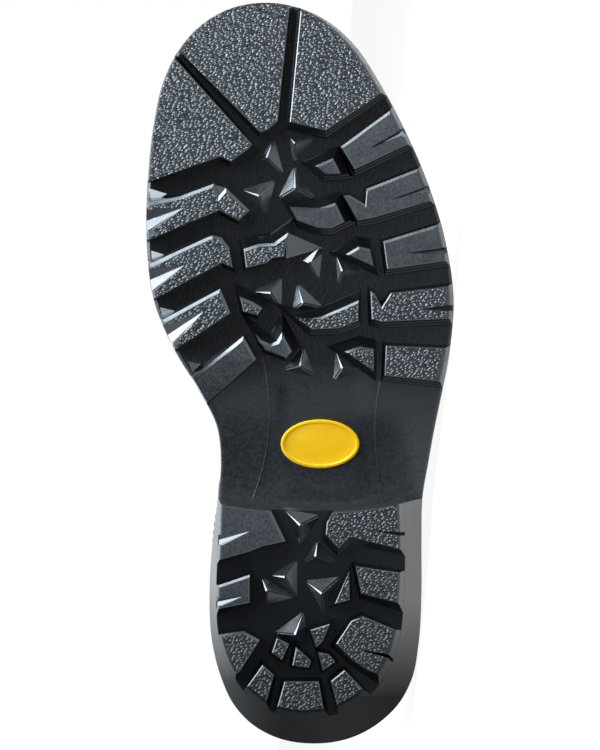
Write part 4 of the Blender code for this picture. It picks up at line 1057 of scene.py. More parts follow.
def rim_margin(depth):
    """How far the tread's rim is drawn in at a depth: more at the outer side, where its walls slope."""
    left = 1.0 - min(depth / LUG_HEIGHT, 1.0)

    def margin(x, y):
        outer = smooth_step((y - SLOPE_FROM) / SLOPE_RUN)
        return (RIM_SETBACK + OUTER_SLOPE * outer) * left + rounding(depth, RIM_EDGE)

    return margin


def sole_loop(margin, count):
    inner, outer = sole_sides(margin, count)
    return np.concatenate([inner, outer[-2:0:-1]])


def panel(x, y):
    """Rise of the faint panel in the waist."""
    ends = smooth_step((x - PANEL_X[0]) / PANEL_FADE) * smooth_step((PANEL_X[1] - x) / TOE_FADE)
    return PANEL_RISE * ends * smooth_step((PANEL_HALF - np.abs(y - PANEL_MIDDLE)) / PANEL_FADE)


def sheet_mesh(rows=150, columns=36):
    bm = bmesh.new()
    rings = []
    for margin, level in SHEET_PROFILE:
        flat = sole_loop(margin, rows)
        rings.append(np.column_stack([flat, LUG_HEIGHT + level + lift(flat[:, 0])]))
    made = skin_rings(bm, rings)
    for ring, below in ((made[0], True), (made[-1], False)):
        share = np.linspace(0.0, 1.0, columns + 1)[1:-1]
        lines = []
        for a, b in zip(*two_sides(ring, rows)):
            if a is b:
                lines.append([a])
                continue
            line = [a]
            for f in share:
                x, y, _ = a.co.lerp(b.co, f)
                height = LUG_HEIGHT + (0.0 if below else SHEET) + float(lift(x))
                line.append(bm.verts.new((x, y, height - (float(panel(x, y)) if below else 0.0))))
            lines.append(line + [b])
        for low, high in zip(lines, lines[1:]):
            for j in range(columns):
                corners = [low[min(j, len(low) - 1)], low[min(j + 1, len(low) - 1)],
                           high[min(j + 1, len(high) - 1)], high[min(j, len(high) - 1)]]
                # The sheet's lower face takes the waist finish, darkened among the forefoot lugs as painted
                # shade.
                add_face(bm, corners, BODY_AT if below else SATIN_AT)
    bmesh.ops.recalc_face_normals(bm, faces=bm.faces)
    return bm


sole = new_mesh_object("sole_rubber", sheet_mesh(), (SATIN, PEBBLE, SHADED_GROOVE, EDGE, WAIST))
fore_borders = [sole_loop(rim_margin(depth), RIM_POINTS) for depth in DEPTHS]
fore_tread = tread(FOREFOOT_LUGS, FOREFOOT_STUDS, fore_borders, BENDS, FOREFOOT_FACETS)
for vert in fore_tread.verts:
    vert.co.z += float(lift(vert.co.x))
join_solids(sole, new_mesh_object("fore_tread", fore_tread, (SATIN, PEBBLE, SHADED_GROOVE, EDGE)))
dress(sole, "rubber", "outsole")

# %% [markdown]
# ## Heel
# The logger's heel is a tall block of its own, wider at the seat than on the ground, so its walls show from
# below. The wall is ruled from the ground line to the seat line, and the heel's tread is joined to it in the
# same way as the forefoot's.

# %% Heel block
HEEL_SETBACK = 0.03
HEEL_ROUND = 0.9
SEAT_GAP = 0.3


def heel_mesh(steps=10):
    bm = bmesh.new()
    ground_loop = heel_loop(0.0)
    top_loop = close_breast(*(heel_side(column, 150)[1] for column in ("inner", "outer")))
    height = LUG_HEIGHT + lift(top_loop[:, 0])
    rings = []
    for share in np.linspace(0.0, 1.0, steps):
        z = LUG_HEIGHT + (height - SEAT_GAP - LUG_HEIGHT) * share
        flat = ground_loop + (top_loop - ground_loop) * (z / height)[:, None]
        rings.append(np.column_stack([flat, z]))
    skin_rings(bm, rings, close_ends=True)
    bmesh.ops.recalc_face_normals(bm, faces=bm.faces)
    for face in bm.faces:
        # The heel block's end faces take the groove finish, darker as painted shade.
        face.material_index = SHADED_GROOVE_AT if len(face.verts) > 4 else BODY_AT
    bmesh.ops.triangulate(bm, faces=[f for f in bm.faces if len(f.verts) > 4])
    return bm


heel_finishes = (SATIN, PEBBLE, SHADED_GROOVE, EDGE, HEEL_WALL)
heel = new_mesh_object("heel_rubber", heel_mesh(), heel_finishes)
heel_borders = [heel_loop(min(depth, LUG_HEIGHT + LUG_SINK), HEEL_SETBACK + rounding(depth, HEEL_ROUND))
                for depth in DEPTHS]
heel_tread = tread(HEEL_LUGS, HEEL_STUDS, heel_borders, ())
join_solids(heel, new_mesh_object("heel_tread", heel_tread, heel_finishes))
dress(heel, "rubber", "heel")

# %% [markdown]
# ## Amber plaque
# A small moulded oval is set in the waist of the sole. It is plain here: a rounded rim round a slightly sunk
# field, built from ovals of shrinking size.

# %% Plaque
PLAQUE_LENGTH = 19.5
PLAQUE_WIDTH = 31.0
PLAQUE_AT = (119.2, 2.0)
PLAQUE_BASE = LUG_HEIGHT - GAP - PANEL_RISE * 0.6
PLAQUE_PROFILE = ((0.0, -0.1), (0.05, 0.55), (0.3, 0.9), (0.7, 1.0), (1.2, 0.95), (1.5, 0.6), (1.9, 0.5),
                  (5.0, 0.56), (8.0, 0.60))


def plaque_mesh(count=96):
    bm = bmesh.new()
    turn = np.linspace(0.0, math.tau, count, endpoint=False)
    rings = []
    for inset, proud in PLAQUE_PROFILE:
        x = PLAQUE_AT[0] + (PLAQUE_LENGTH / 2 - inset) * np.cos(turn)
        y = PLAQUE_AT[1] + (PLAQUE_WIDTH / 2 - inset) * np.sin(turn)
        rings.append(np.column_stack([x, y, PLAQUE_BASE + lift(x) - proud]))
    skin_rings(bm, rings, close_ends=True)
    bmesh.ops.recalc_face_normals(bm, faces=bm.faces)
    return bm


dress(new_mesh_object("amber_oval", plaque_mesh(), (AMBER,), SOFT_ANGLE), "plaque", "badge")

# %% [markdown]
# ## A row of stitches, and fine lines, with Geometry Nodes
# Stitches, and the two fine lines in the waist, follow a path. A path here is a chain of points with the way
# out of the surface stored at each. The stitch tree walks along it in even steps and sets a small rounded
# stitch on each, turned along the seam. The line tree sweeps a small round section along the path instead.

# %% Helpers for trees


def new_tree(name, sockets):
    tree = bpy.data.node_groups.new(name, "GeometryNodeTree")
    tree.interface.new_socket("Geometry", in_out="INPUT", socket_type="NodeSocketGeometry")
    for label, kind in sockets:
        tree.interface.new_socket(label, in_out="INPUT", socket_type=kind)
    tree.interface.new_socket("Geometry", in_out="OUTPUT", socket_type="NodeSocketGeometry")
    return tree, tree.nodes.new("NodeGroupInput"), tree.nodes.new("NodeGroupOutput")


def chain(tree, *steps):
    """Links a run of sockets, output to input, in pairs."""
    for source, target in zip(steps[::2], steps[1::2]):
        tree.links.new(source, target)


def stored_way_out(tree):
    stored = tree.nodes.new("GeometryNodeInputNamedAttribute")
    stored.data_type = "FLOAT_VECTOR"
    stored.inputs["Name"].default_value = "way_out"
    return stored.outputs["Attribute"]


def end_tree(tree, made, shape, finish):
    """The end of every tree: real geometry, smooth shading and one finish."""
    for kind in ("GeometryNodeRealizeInstances", "GeometryNodeSetShadeSmooth", "GeometryNodeSetMaterial"):
        node = tree.nodes.new(kind)
        tree.links.new(shape, node.inputs["Geometry"])
        shape = node.outputs["Geometry"]
    tree.links.new(finish, node.inputs["Material"])
    tree.links.new(shape, made.inputs["Geometry"])
    return tree


print("trees so far:", len(bpy.data.node_groups))

# %% Trees for what follows a path


def stitch_tree():
    tree, given, made = new_tree("stitch_row", (
        ("Pitch", "NodeSocketFloat"), ("Length", "NodeSocketFloat"), ("Width", "NodeSocketFloat"),
        ("Thread", "NodeSocketMaterial")))
    path = tree.nodes.new("GeometryNodeMeshToCurve")
    steps = tree.nodes.new("GeometryNodeResampleCurve")
    steps.mode = "LENGTH"
    stitch = tree.nodes.new("GeometryNodeMeshUVSphere")
    stitch.inputs["Segments"].default_value = 6
    stitch.inputs["Rings"].default_value = 4
    stitch.inputs["Radius"].default_value = 0.5
    size = tree.nodes.new("ShaderNodeCombineXYZ")
    along = tree.nodes.new("GeometryNodeInputTangent")
    turn = tree.nodes.new("FunctionNodeAlignRotationToVector")
    turn.axis = "X"
    level = tree.nodes.new("FunctionNodeAlignRotationToVector")
    level.axis = "Z"
    level.pivot_axis = "X"
    row = tree.nodes.new("GeometryNodeInstanceOnPoints")
    chain(tree, given.outputs["Geometry"], path.inputs["Mesh"], path.outputs["Curve"], steps.inputs["Curve"],
          given.outputs["Pitch"], steps.inputs["Length"], given.outputs["Length"], size.inputs["X"],
          given.outputs["Width"], size.inputs["Y"], given.outputs["Width"], size.inputs["Z"],
          along.outputs["Tangent"], turn.inputs["Vector"], turn.outputs["Rotation"], level.inputs["Rotation"],
          stored_way_out(tree), level.inputs["Vector"], steps.outputs["Curve"], row.inputs["Points"],
          stitch.outputs["Mesh"], row.inputs["Instance"], level.outputs["Rotation"], row.inputs["Rotation"],
          size.outputs["Vector"], row.inputs["Scale"])
    return end_tree(tree, made, row.outputs["Instances"], given.outputs["Thread"])


def line_tree():
    tree, given, made = new_tree("mould_line", (
        ("Radius", "NodeSocketFloat"), ("Rubber", "NodeSocketMaterial")))
    path = tree.nodes.new("GeometryNodeMeshToCurve")
    section = tree.nodes.new("GeometryNodeCurvePrimitiveCircle")
    section.inputs["Resolution"].default_value = 6
    sweep = tree.nodes.new("GeometryNodeCurveToMesh")
    sweep.inputs["Fill Caps"].default_value = True
    chain(tree, given.outputs["Geometry"], path.inputs["Mesh"], path.outputs["Curve"], sweep.inputs["Curve"],
          given.outputs["Radius"], section.inputs["Radius"], section.outputs["Curve"],
          sweep.inputs["Profile Curve"])
    return end_tree(tree, made, sweep.outputs["Mesh"], given.outputs["Rubber"])


STITCHES = stitch_tree()
MOULD_LINE = line_tree()
print("trees:", STITCHES.name, MOULD_LINE.name)

# %% Running a tree on a path


def path_object(name, paths, ways_out=None, closed=False):
    """Chains of boot points as one mesh of edges, with the way out stored at each point."""
    points, edges, outs = [], [], []
    for k, path in enumerate(paths):
        first = len(points)
        points += place(path)
        edges += [(first + i, first + i + 1) for i in range(len(path) - 1)]
        edges += [(first + len(path) - 1, first)] if closed else []
        outs += [ROW.to_3x3().normalized() @ Vector(v) for v in ways_out[k]] if ways_out else []
    mesh = bpy.data.meshes.new(name)
    mesh.from_pydata(points, edges, [])
    if outs:
        mesh.attributes.new("way_out", "FLOAT_VECTOR", "POINT")
        mesh.attributes["way_out"].data.foreach_set("vector", np.array(outs).ravel())
    obj = bpy.data.objects.new(name, mesh)
    studio.collection.objects.link(obj)
    return obj


def run_tree(obj, tree, **values):
    """Runs a tree on an object with its inputs set, and keeps the result as a plain mesh."""
    step = obj.modifiers.new(tree.name, "NODES")
    step.node_group = tree
    for item in tree.interface.items_tree:
        if item.in_out == "INPUT" and item.name in values:
            step[item.identifier] = values[item.name]
    obj.update_tag()
    return apply_modifiers(obj)


def stitch_row(name, paths, ways_out, closed=False, pitch=3.4, length=2.5, width=0.75):
    seam = path_object(name, paths, ways_out, closed)
    run_tree(seam, STITCHES, Pitch=pitch * MM, Length=length * MM, Width=width * MM, Thread=THREAD)
    print(name, "stitches:", len(seam.data.polygons) // 24)
    return seam


# %% [markdown]
# Two fine lines run along the waist, as a mould leaves them. They could be cut into the sheet, but a thread
# of rubber half sunk in it gives the same thin gleam with far fewer faces.

# %% Mould lines in the waist
LINE_SINK = 0.05
LINE_RADIUS = 0.28
WAIST_LINES = (
    ((154, -20.5), (140.5, -18.5), (129, -18), (117, -19), (106.5, -21.5), (97.5, -24.5)),
    ((144.5, 25.5), (134.5, 24), (125, 23.5), (113, 24.5), (103.5, 25.5), (95, 27)),
)
waist_paths = []
for corners in WAIST_LINES:
    flat = even_steps(smooth_through(corners), 60)
    waist_paths.append(np.column_stack([flat, LUG_HEIGHT + lift(flat[:, 0]) + LINE_SINK]))
waist_lines = path_object("waist_mould_lines", waist_paths)
run_tree(waist_lines, MOULD_LINE, Radius=LINE_RADIUS * MM, Rubber=SATIN)
dress(waist_lines, "rubber")

# %% [markdown]
# ## Welt and insole
# The welt is a strip of leather sewn round the upper's foot, with the outsole below it. Its edge is rounded
# and dyed, and a row of stitches lies in a groove along its top. Margins from the sole's edge give its
# section, so it follows toe spring, arch and seat as the sole does.

# %% Welt
WELT = 4.0
WELT_SETBACK = 1.0
WELT_REACH = 4.6
INSOLE = 6.5
FORE_MARGIN = 7.5
WAIST_MARGIN = 6.0
FORE_FROM = 110.0
FORE_RUN = 70.0
TOP_OF_SHEET = LUG_HEIGHT + SHEET
STITCH_AT = 3.4


def feather_margin(x, y=None):
    """How far the welt stands out from the upper at a station."""
    return WAIST_MARGIN + (FORE_MARGIN - WAIST_MARGIN) * smooth_step((x - FORE_FROM) / FORE_RUN)


def welt_mesh(count=200):
    profile = [(WELT_SETBACK + 0.5, 0.1), (WELT_SETBACK + 0.1, 0.5), (WELT_SETBACK, 1.2), (WELT_SETBACK, 2.9),
               (WELT_SETBACK + 0.25, 3.6), (WELT_SETBACK + 0.9, WELT), (STITCH_AT - 0.7, WELT),
               (STITCH_AT - 0.3, WELT - 0.35), (STITCH_AT + 0.3, WELT - 0.35), (STITCH_AT + 0.7, WELT)]
    bm = bmesh.new()
    rings = []
    for margin, level in profile + [("feather", WELT), ("feather", 0.1)]:
        draw_in = margin if margin != "feather" else lambda x, y: feather_margin(x) + WELT_REACH
        flat = sole_loop(draw_in, count)
        rings.append(np.column_stack([flat, TOP_OF_SHEET + GAP + level + lift(flat[:, 0])]))
    skin_rings(bm, rings + rings[:1])
    bmesh.ops.remove_doubles(bm, verts=bm.verts, dist=0.0005)
    bmesh.ops.recalc_face_normals(bm, faces=bm.faces)
    return bm


dress(new_mesh_object("welt_strip", welt_mesh(), (WELT_LEATHER,), SOFT_ANGLE), "welt", "welt")
stitch_line = sole_loop(STITCH_AT, 300)
stitch_line = np.column_stack([stitch_line, TOP_OF_SHEET + GAP + WELT - 0.15 + lift(stitch_line[:, 0])])
welt_stitches = stitch_row("welt_stitches", [stitch_line], [[(0, 0, 1)] * len(stitch_line)], closed=True,
                           pitch=4.2, length=3.4, width=1.0)
dress(welt_stitches, "welt")

# %% [markdown]
# The insole board is the floor that shows through the collar. It fills the inside of the welt, so it is drawn
# from the same edge line with a wider margin, and its upper edge is eased.

# %% Insole board


def insole_mesh(rows=110):
    bm = bmesh.new()
    rings = []
    for extra, level in ((0.0, 0.0), (0.0, INSOLE - 0.9), (0.3, INSOLE - 0.3), (0.9, INSOLE)):
        flat = sole_loop(lambda x, y: feather_margin(x) + WELT_REACH + GAP + extra, rows)
        rings.append(np.column_stack([flat, TOP_OF_SHEET + GAP + level + lift(flat[:, 0])]))
    made = skin_rings(bm, rings)
    for ring in (made[0], made[-1]):
        inner, outer = two_sides(ring, rows)
        for k in range(rows):
            add_face(bm, (inner[k], inner[k + 1], outer[k + 1], outer[k]))
    bmesh.ops.recalc_face_normals(bm, faces=bm.faces)
    return bm


dress(new_mesh_object("insole_leather", insole_mesh(), (BOARD,), SOFT_ANGLE), "board", "insole")

# %% [markdown]
# ## The last
# The upper is leather pulled over a last. Its form here is a row of sections, from the toe round the heel and
# up the leg, each running from the sole or the back line to the front line. The same form carries every piece
# that lies on the upper, so nothing floats and nothing sinks in.

# %% Sections of the form
WALL = 1.8
OVERLAP_STEP = 1.1
FACING = 1.4
BULGE = 1.02
THROAT_GAP = 15.0
THROAT_TAPER = 3.0
SEAM_ROW = 8.0
HEEL_ROW = 13.0
COLLAR_ROW = 20.0
FEATHER = TOP_OF_SHEET + GAP + WELT + 2.5 * GAP
OVERLAY_BACK = OVERLAP_STEP + 0.1
OVERLAY_FACE = OVERLAP_STEP + 2.5 * GAP + FACING
Section = namedtuple("Section", "label low_x low_z front_x front_z breadth ridge square")
SECTIONS = (
    Section("toe tip", 285.3, 0.0, 285.3, 25.6, 0.0, -19.4, 0.80),
    Section("toe wall", 283.9, 0.0, 283.7, 42.0, 0.0, -19.5, 0.76),
    Section("toe shoulder", 279.5, 0.0, 278.5, 56.0, 0.0, -19.6, 0.72),
    Section("toe top", 272.0, 0.0, 269.5, 63.0, 0.0, -19.5, 0.70),
    Section("toe box", 261.0, 0.0, 257.5, 67.5, 0.0, -18.5, 0.70),
    Section("toe break", 246.0, 0.0, 243.0, 71.5, 0.0, -16.5, 0.72),
    Section("vamp", 226.0, 0.0, 227.0, 76.5, 0.0, -13.0, 0.76),
    Section("ball", 200.0, 0.0, 213.0, 85.0, 0.0, -9.5, 0.80),
    Section("throat", 168.0, 0.0, 199.0, 95.0, 0.0, -6.5, 0.82),
    Section("waist", 128.0, 0.0, 182.5, 108.5, 39.5, -1.5, 0.84),
    Section("instep", 90.0, 0.0, 167.0, 122.5, 36.5, -0.2, 0.86),
    Section("seat", 52.0, 0.0, 155.0, 137.0, 36.0, 0.0, 0.86),
    Section("heel turn", 20.0, 0.0, 147.0, 151.0, 36.0, 0.0, 0.86),
    Section("heel back", 4.0, 0.0, 141.5, 164.5, 36.3, 0.0, 0.86),
    Section("heel swell", 1.8, 72.0, 138.0, 177.5, 37.0, -0.5, 0.86),
    Section("heel top", 2.2, 98.0, 135.5, 190.5, 37.5, -0.5, 0.87),
    Section("tendon", 7.5, 125.0, 133.5, 203.5, 38.5, -0.5, 0.88),
    Section("ankle", 10.5, 152.0, 132.0, 216.5, 39.5, -0.5, 0.89),
    Section("shaft", 9.5, 182.0, 131.0, 229.5, 40.5, -0.5, 0.90),
    Section("calf", 6.5, 212.0, 131.0, 243.0, 41.5, -0.5, 0.90),
    Section("collar", 3.0, 246.0, 131.5, 258.0, 42.5, -0.5, 0.90),
    Section("tongue top", 2.0, 258.0, 132.5, 269.0, 42.8, -0.5, 0.90),
)
FEATHER_INNER, FEATHER_OUTER = sole_sides(feather_margin, 900)
ROWS = np.array([section[1:] for section in SECTIONS])
Sizes = namedtuple("Sizes", "low_x low_z front_x front_z breadth foot middle ridge square")


print("sections:", len(SECTIONS))

# %% From sections to points


def at_row(rows):
    """Section sizes between the rows of the table, changing smoothly."""
    rows = np.asarray(rows, float)
    i = np.clip(np.floor(rows).astype(int), 0, len(ROWS) - 2)
    f = (rows - i)[:, None]
    before, here = ROWS[np.maximum(i - 1, 0)], ROWS[i]
    there, after = ROWS[i + 1], ROWS[np.minimum(i + 2, len(ROWS) - 1)]
    start = (1 + 2 * f) * (1 - f) ** 2 * here + f * (1 - f) ** 2 * (there - before) / 2
    return start + f * f * (3 - 2 * f) * there + f * f * (f - 1) * (after - here) / 2


def section_frame(rows):
    """Low point, front point, half breadths and fullness of each section."""
    low_x, low_z, front_x, front_z, breadth, ridge, square = at_row(rows).T
    on_sole = rows <= HEEL_ROW
    low_x = np.where(on_sole, np.clip(low_x, FEATHER_INNER[0, 0], FEATHER_INNER[-1, 0]), low_x)
    inner = np.interp(low_x, FEATHER_INNER[:, 0], FEATHER_INNER[:, 1])
    outer = np.interp(low_x, FEATHER_OUTER[:, 0], FEATHER_OUTER[:, 1])
    foot = np.where((rows > 0.001) & (rows < HEEL_ROW - 0.001), (outer - inner) / 2, 0.0)
    middle = np.where(on_sole, (outer + inner) / 2, FEATHER_INNER[0, 1])
    low_z = np.where(on_sole, FEATHER + lift(low_x), low_z)
    above = np.clip(rows - HEEL_ROW, 0.0, 1.0)
    swell = SECTIONS[int(HEEL_ROW) + 1]
    seat_x = FEATHER_INNER[0, 0]
    seat_z = FEATHER + float(lift(seat_x))
    in_swell = (rows > HEEL_ROW) & (above < 1.0)
    low_x = np.where(in_swell, seat_x + (swell.low_x - seat_x) * above ** 2, low_x)
    low_z = np.where(in_swell, seat_z + (swell.low_z - seat_z) * above, low_z)
    breadth = np.maximum(np.maximum(breadth, BULGE * foot), 0.001)
    return Sizes(low_x, low_z, front_x, front_z, breadth, foot, middle, ridge, square)


def first_turn(at):
    """Angle at which a section leaves the sole."""
    return -np.arccos(np.clip(at.foot / at.breadth, 0.0, 1.0) ** (1 / at.square))


def form(rows, spans, side):
    """Points of the form, a line of them per row. Spans run from the low point (0) to the front (1)."""
    at = Sizes(*(v[:, None] for v in section_frame(np.asarray(rows, float))))
    start = first_turn(at)
    turn = start + spans * (math.pi / 2 - start)
    rise = (np.sin(turn) - np.sin(start)) / (1 - np.sin(start))
    reach = at.breadth * np.clip(np.cos(turn), 0.0, 1.0) ** at.square
    x = at.low_x + (at.front_x - at.low_x) * rise
    y = at.middle + (at.ridge - at.middle) * rise + side * reach
    z = at.low_z + (at.front_z - at.low_z) * rise
    return np.stack([x, np.broadcast_to(y, x.shape), z], axis=2)


print("front of the collar:", form([COLLAR_ROW], np.array([[1.0]]), 1.0)[0, 0].round(1), "mm")

# %% Places on the form


def span_at(rows, reach):
    """Where on each section the form is a given distance out from the front line."""
    at = section_frame(np.asarray(rows, float))
    start = first_turn(at)
    turn = np.arccos(np.clip(np.asarray(reach) / at.breadth, 0.0, 1.0) ** (1 / at.square))
    return (turn - start) / (math.pi / 2 - start)


def span_of_rise(rows, rise):
    """Where on each section the form has climbed a given share of the way to the front line."""
    start = first_turn(section_frame(np.asarray(rows, float)))
    turn = np.arcsin(np.clip(np.sin(start) + rise * (1 - np.sin(start)), -1.0, 1.0))
    return (turn - start) / (math.pi / 2 - start)


def outward(rows, spans, side):
    """Directions square to the form."""
    rows = np.clip(np.asarray(rows, float), 0.12, len(ROWS) - 1.01)
    spans = np.clip(spans, 0.012, 0.988)
    along = form(rows + 0.01, spans, side) - form(rows - 0.01, spans, side)
    around = form(rows, spans + 0.01, side) - form(rows, spans - 0.01, side)
    normal = np.cross(along, around) * side
    return normal / np.linalg.norm(normal, axis=2)[..., None]


def throat_gap(rows):
    """Half width of the throat."""
    opening = smooth_step((np.asarray(rows, float) - SEAM_ROW - 0.05) / 0.9)
    widen = np.clip((np.asarray(rows, float) - SEAM_ROW) / (COLLAR_ROW - SEAM_ROW), 0.0, 1.2)
    return opening * (THROAT_GAP - THROAT_TAPER + THROAT_TAPER * widen)


def facing_point(row, reach, side, out):
    """A point on the front of the boot, a reach out from the front line, and the way out there."""
    rows = np.array([row])
    spans = span_at(rows, np.array([reach]))[:, None]
    normal = outward(rows, spans, side)[0, 0]
    return form(rows, spans, side)[0, 0] + normal * out, normal


print("throat at the collar:", round(2 * float(throat_gap(COLLAR_ROW)), 1), "mm wide")

# %% [markdown]
# ## Leather pieces
# Leather is built as two skins with a rim between them, so it has a real thickness and its cut edge shows.
# The inside skin takes the lining's finish. Creases are placed where a boot folds: across the vamp
# at the ball and round the ankle. Each is a shallow trough that fades at both ends.

# %% Creases
Crease = namedtuple("Crease", "row tilt span reach width depth side")
CREASES = (
    Crease(6.55, 0.35, 0.80, 0.22, 0.10, 0.55, 0.0),
    Crease(7.05, 0.30, 0.76, 0.24, 0.11, 0.65, 0.0),
    Crease(7.50, 0.25, 0.72, 0.20, 0.09, 0.45, 0.0),
    Crease(14.55, -0.9, 0.55, 0.22, 0.16, 0.80, -1.0),
    Crease(15.45, -0.8, 0.52, 0.26, 0.18, 0.95, -1.0),
    Crease(16.35, -0.5, 0.56, 0.22, 0.16, 0.70, -1.0),
    Crease(14.70, -0.9, 0.53, 0.24, 0.16, 0.75, 1.0),
    Crease(15.60, -0.7, 0.54, 0.24, 0.18, 0.90, 1.0),
    Crease(16.40, -0.5, 0.55, 0.20, 0.15, 0.60, 1.0),
)


def creased(rows, spans, side):
    """How far the leather sinks, or rises beside a crease, at each point."""
    shift = np.zeros(spans.shape)
    for crease in CREASES:
        if crease.side not in (0.0, side):
            continue
        off = (rows[:, None] - crease.row - crease.tilt * (spans - crease.span)) / crease.width
        fade = smooth_step(1.0 - np.abs(spans - crease.span) / crease.reach)
        shift += fade * crease.depth * ((0.9 * off ** 2 - 1.0) * np.exp(-off ** 2))
    return shift


print("creases:", len(CREASES))

# %% Two skins with a rim


def leather(rows, spans_low, spans_high, columns, inside, outside, sides=(-1.0, 1.0), folds=True):
    """Closed leather between two offsets from the form. Inner faces get the second finish."""
    rows = np.asarray(rows, float)
    spans_low, spans_high, inside, outside = (
        np.broadcast_to(value, len(rows)) for value in (spans_low, spans_high, inside, outside))
    share = np.linspace(0.0, 1.0, columns + 1)[None, :]
    spans = spans_low[:, None] * (1 - share) + spans_high[:, None] * share
    places, outer_skin, inner_skin, faces = {}, [], [], []
    for side in sides:
        base = form(rows, spans, side)
        normal = outward(rows, spans, side)
        seam = (spans > 0.999) | ((spans < 0.001) & (rows[:, None] > HEEL_ROW - 0.001))
        on_welt = (spans < 0.001) & (rows[:, None] <= HEEL_ROW)
        normal[..., 1] = np.where(seam, 0.0, normal[..., 1])
        normal[..., 2] = np.where(on_welt, 0.0, normal[..., 2])
        normal /= np.linalg.norm(normal, axis=2)[..., None]
        sink = creased(rows, spans, side) if folds else np.zeros(spans.shape)
        index = np.zeros(spans.shape, int)
        for i in range(len(rows)):
            for j in range(columns + 1):
                key = tuple(np.round(base[i, j], 2))
                if key not in places:
                    places[key] = len(outer_skin)
                    outer_skin.append(base[i, j] + normal[i, j] * (outside[i] + sink[i, j]))
                    inner_skin.append(base[i, j] + normal[i, j] * (inside[i] + sink[i, j]))
                index[i, j] = places[key]
        for i in range(len(rows) - 1):
            for j in range(columns):
                quad = [index[i, j], index[i + 1, j], index[i + 1, j + 1], index[i, j + 1]]
                quad = quad if side > 0 else quad[::-1]
                corners = [v for k, v in enumerate(quad) if v != quad[k - 1]]
                if len(set(corners)) > 2:
                    faces.append(corners)
    ways = {(face[k - 1], face[k]) for face in faces for k in range(len(face))}
    bm = bmesh.new()
    out = [bm.verts.new(p) for p in outer_skin]
    inn = [bm.verts.new(p) for p in inner_skin]
    for face in faces:
        bm.faces.new([out[v] for v in face])
        bm.faces.new([inn[v] for v in face[::-1]]).material_index = 1
    for a, b in sorted(ways):
        if (b, a) not in ways:
            bm.faces.new((out[b], out[a], inn[a], inn[b]))
    bmesh.ops.recalc_face_normals(bm, faces=bm.faces)
    return bm


def round_edges(obj, width, segments=2):
    """Rounds the cut edges of a leather piece."""
    edge = obj.modifiers.new("cut_edge", "BEVEL")
    edge.width = width * MM
    edge.segments = segments
    edge.limit_method = "ANGLE"
    edge.angle_limit = math.radians(50.0)
    apply_modifiers(obj)
    obj.data.shade_smooth()
    obj.data.set_sharp_from_angle(angle=math.radians(45.0))
    return obj


def leather_piece(name, mesh, finishes, rounded, slot, node):
    """A finished leather piece with its cut edges rounded."""
    dress(round_edges(new_mesh_object(name, mesh, finishes, SOFT_ANGLE), rounded), slot, node)


def dense_rows(first, last, step=0.125):
    """Rows for leather, closer together where the toe and the heel turn."""
    turns = [0.04, 0.08, 0.18, HEEL_ROW - 0.06, HEEL_ROW - 0.03, HEEL_ROW - 0.01]
    rows = np.concatenate([np.arange(first, last + 0.001, step), turns, [last]])
    rows = np.unique(np.round(rows, 4))
    return rows[(rows >= first) & (rows <= last)]


print("rows from toe to collar:", len(dense_rows(0.0, COLLAR_ROW)))

# %% [markdown]
# The upper is one hollow shell from toe to collar, and the quarters step over the vamp at a seam. It could be
# sculpted, but sections keep its wall even and leave collar, throat and underside open.

# %% Upper
upper_rows = np.unique(np.concatenate([dense_rows(0.0, COLLAR_ROW), [SEAM_ROW + 0.02, SEAM_ROW + 0.05]]))
upper_front = np.where(throat_gap(upper_rows) > 0.05, span_at(upper_rows, throat_gap(upper_rows)), 1.0)
upper_skin = np.interp(upper_rows, [SEAM_ROW, SEAM_ROW + 0.02, SEAM_ROW + 0.05], [0.0, 0.9, OVERLAP_STEP])
upper_mesh = leather(upper_rows, 0.0, upper_front, 32, -WALL, upper_skin)
leather_piece("upper_leather_shell", upper_mesh, (UPPER_LEATHER, LINING), 0.7, "leather", "upper")

# %% [markdown]
# The tongue lies behind the throat and rises past the collar. It takes its shape from the same form, sunk by
# more than the upper's thickness, so the two can't cut into each other.

# %% Tongue
TONGUE = 3.0
TONGUE_REACH = 28.0
TONGUE_SINK = WALL + 2.5 + 1.0
tongue_rows = dense_rows(SEAM_ROW - 0.5, len(SECTIONS) - 1.0)
tongue_reach = TONGUE_REACH * np.clip(0.72 + 0.28 * (tongue_rows - tongue_rows[0]) / 3.0, 0.0, 1.0)
tongue_mesh = leather(tongue_rows, span_at(tongue_rows, tongue_reach), 1.0, 14, -(TONGUE_SINK + TONGUE - 0.6),
                      -TONGUE_SINK, folds=False)
leather_piece("tongue_leather", tongue_mesh, (UPPER_LEATHER, LINING), 0.9, "leather", "tongue")

# %% [markdown]
# A counter stiffens the heel. It is a patch sewn over the quarters, so it is cut from the form along one
# smooth line, and lies a little further out.

# %% Heel counter
Patch = namedtuple("Patch", "row share")
COUNTER = (Patch(9.67, 0.06), Patch(10.0, 0.17), Patch(10.5, 0.24), Patch(11.0, 0.27), Patch(12.0, 0.30),
           Patch(13.0, 0.31), Patch(14.0, 0.22), Patch(15.0, 0.13), Patch(16.0, 0.035))
patch_line = smooth_through([(patch.row, patch.share) for patch in COUNTER])


def counter_top(rows):
    """Top edge of the counter at each row."""
    return span_of_rise(rows, np.interp(rows, patch_line[:, 0], patch_line[:, 1]))


counter_rows = dense_rows(COUNTER[0].row, COUNTER[-1].row)
counter_mesh = leather(counter_rows, 0.0, counter_top(counter_rows), 16, OVERLAY_BACK, OVERLAY_FACE,
                       folds=False)
leather_piece("heel_counter_leather", counter_mesh, (FACING_LEATHER, FACING_LEATHER), 0.5, "facing",
              "counter")

# %% [markdown]
# Two facings carry the eyelets. Each is a strip beside the throat that widens above the vamp, cut from the
# form in the same way as the counter, once for each side.

# %% Eyelet facings
FACING_NEAR = 1.2
FACING_FAR = 11.0
FACING_WIDENS = 10.0


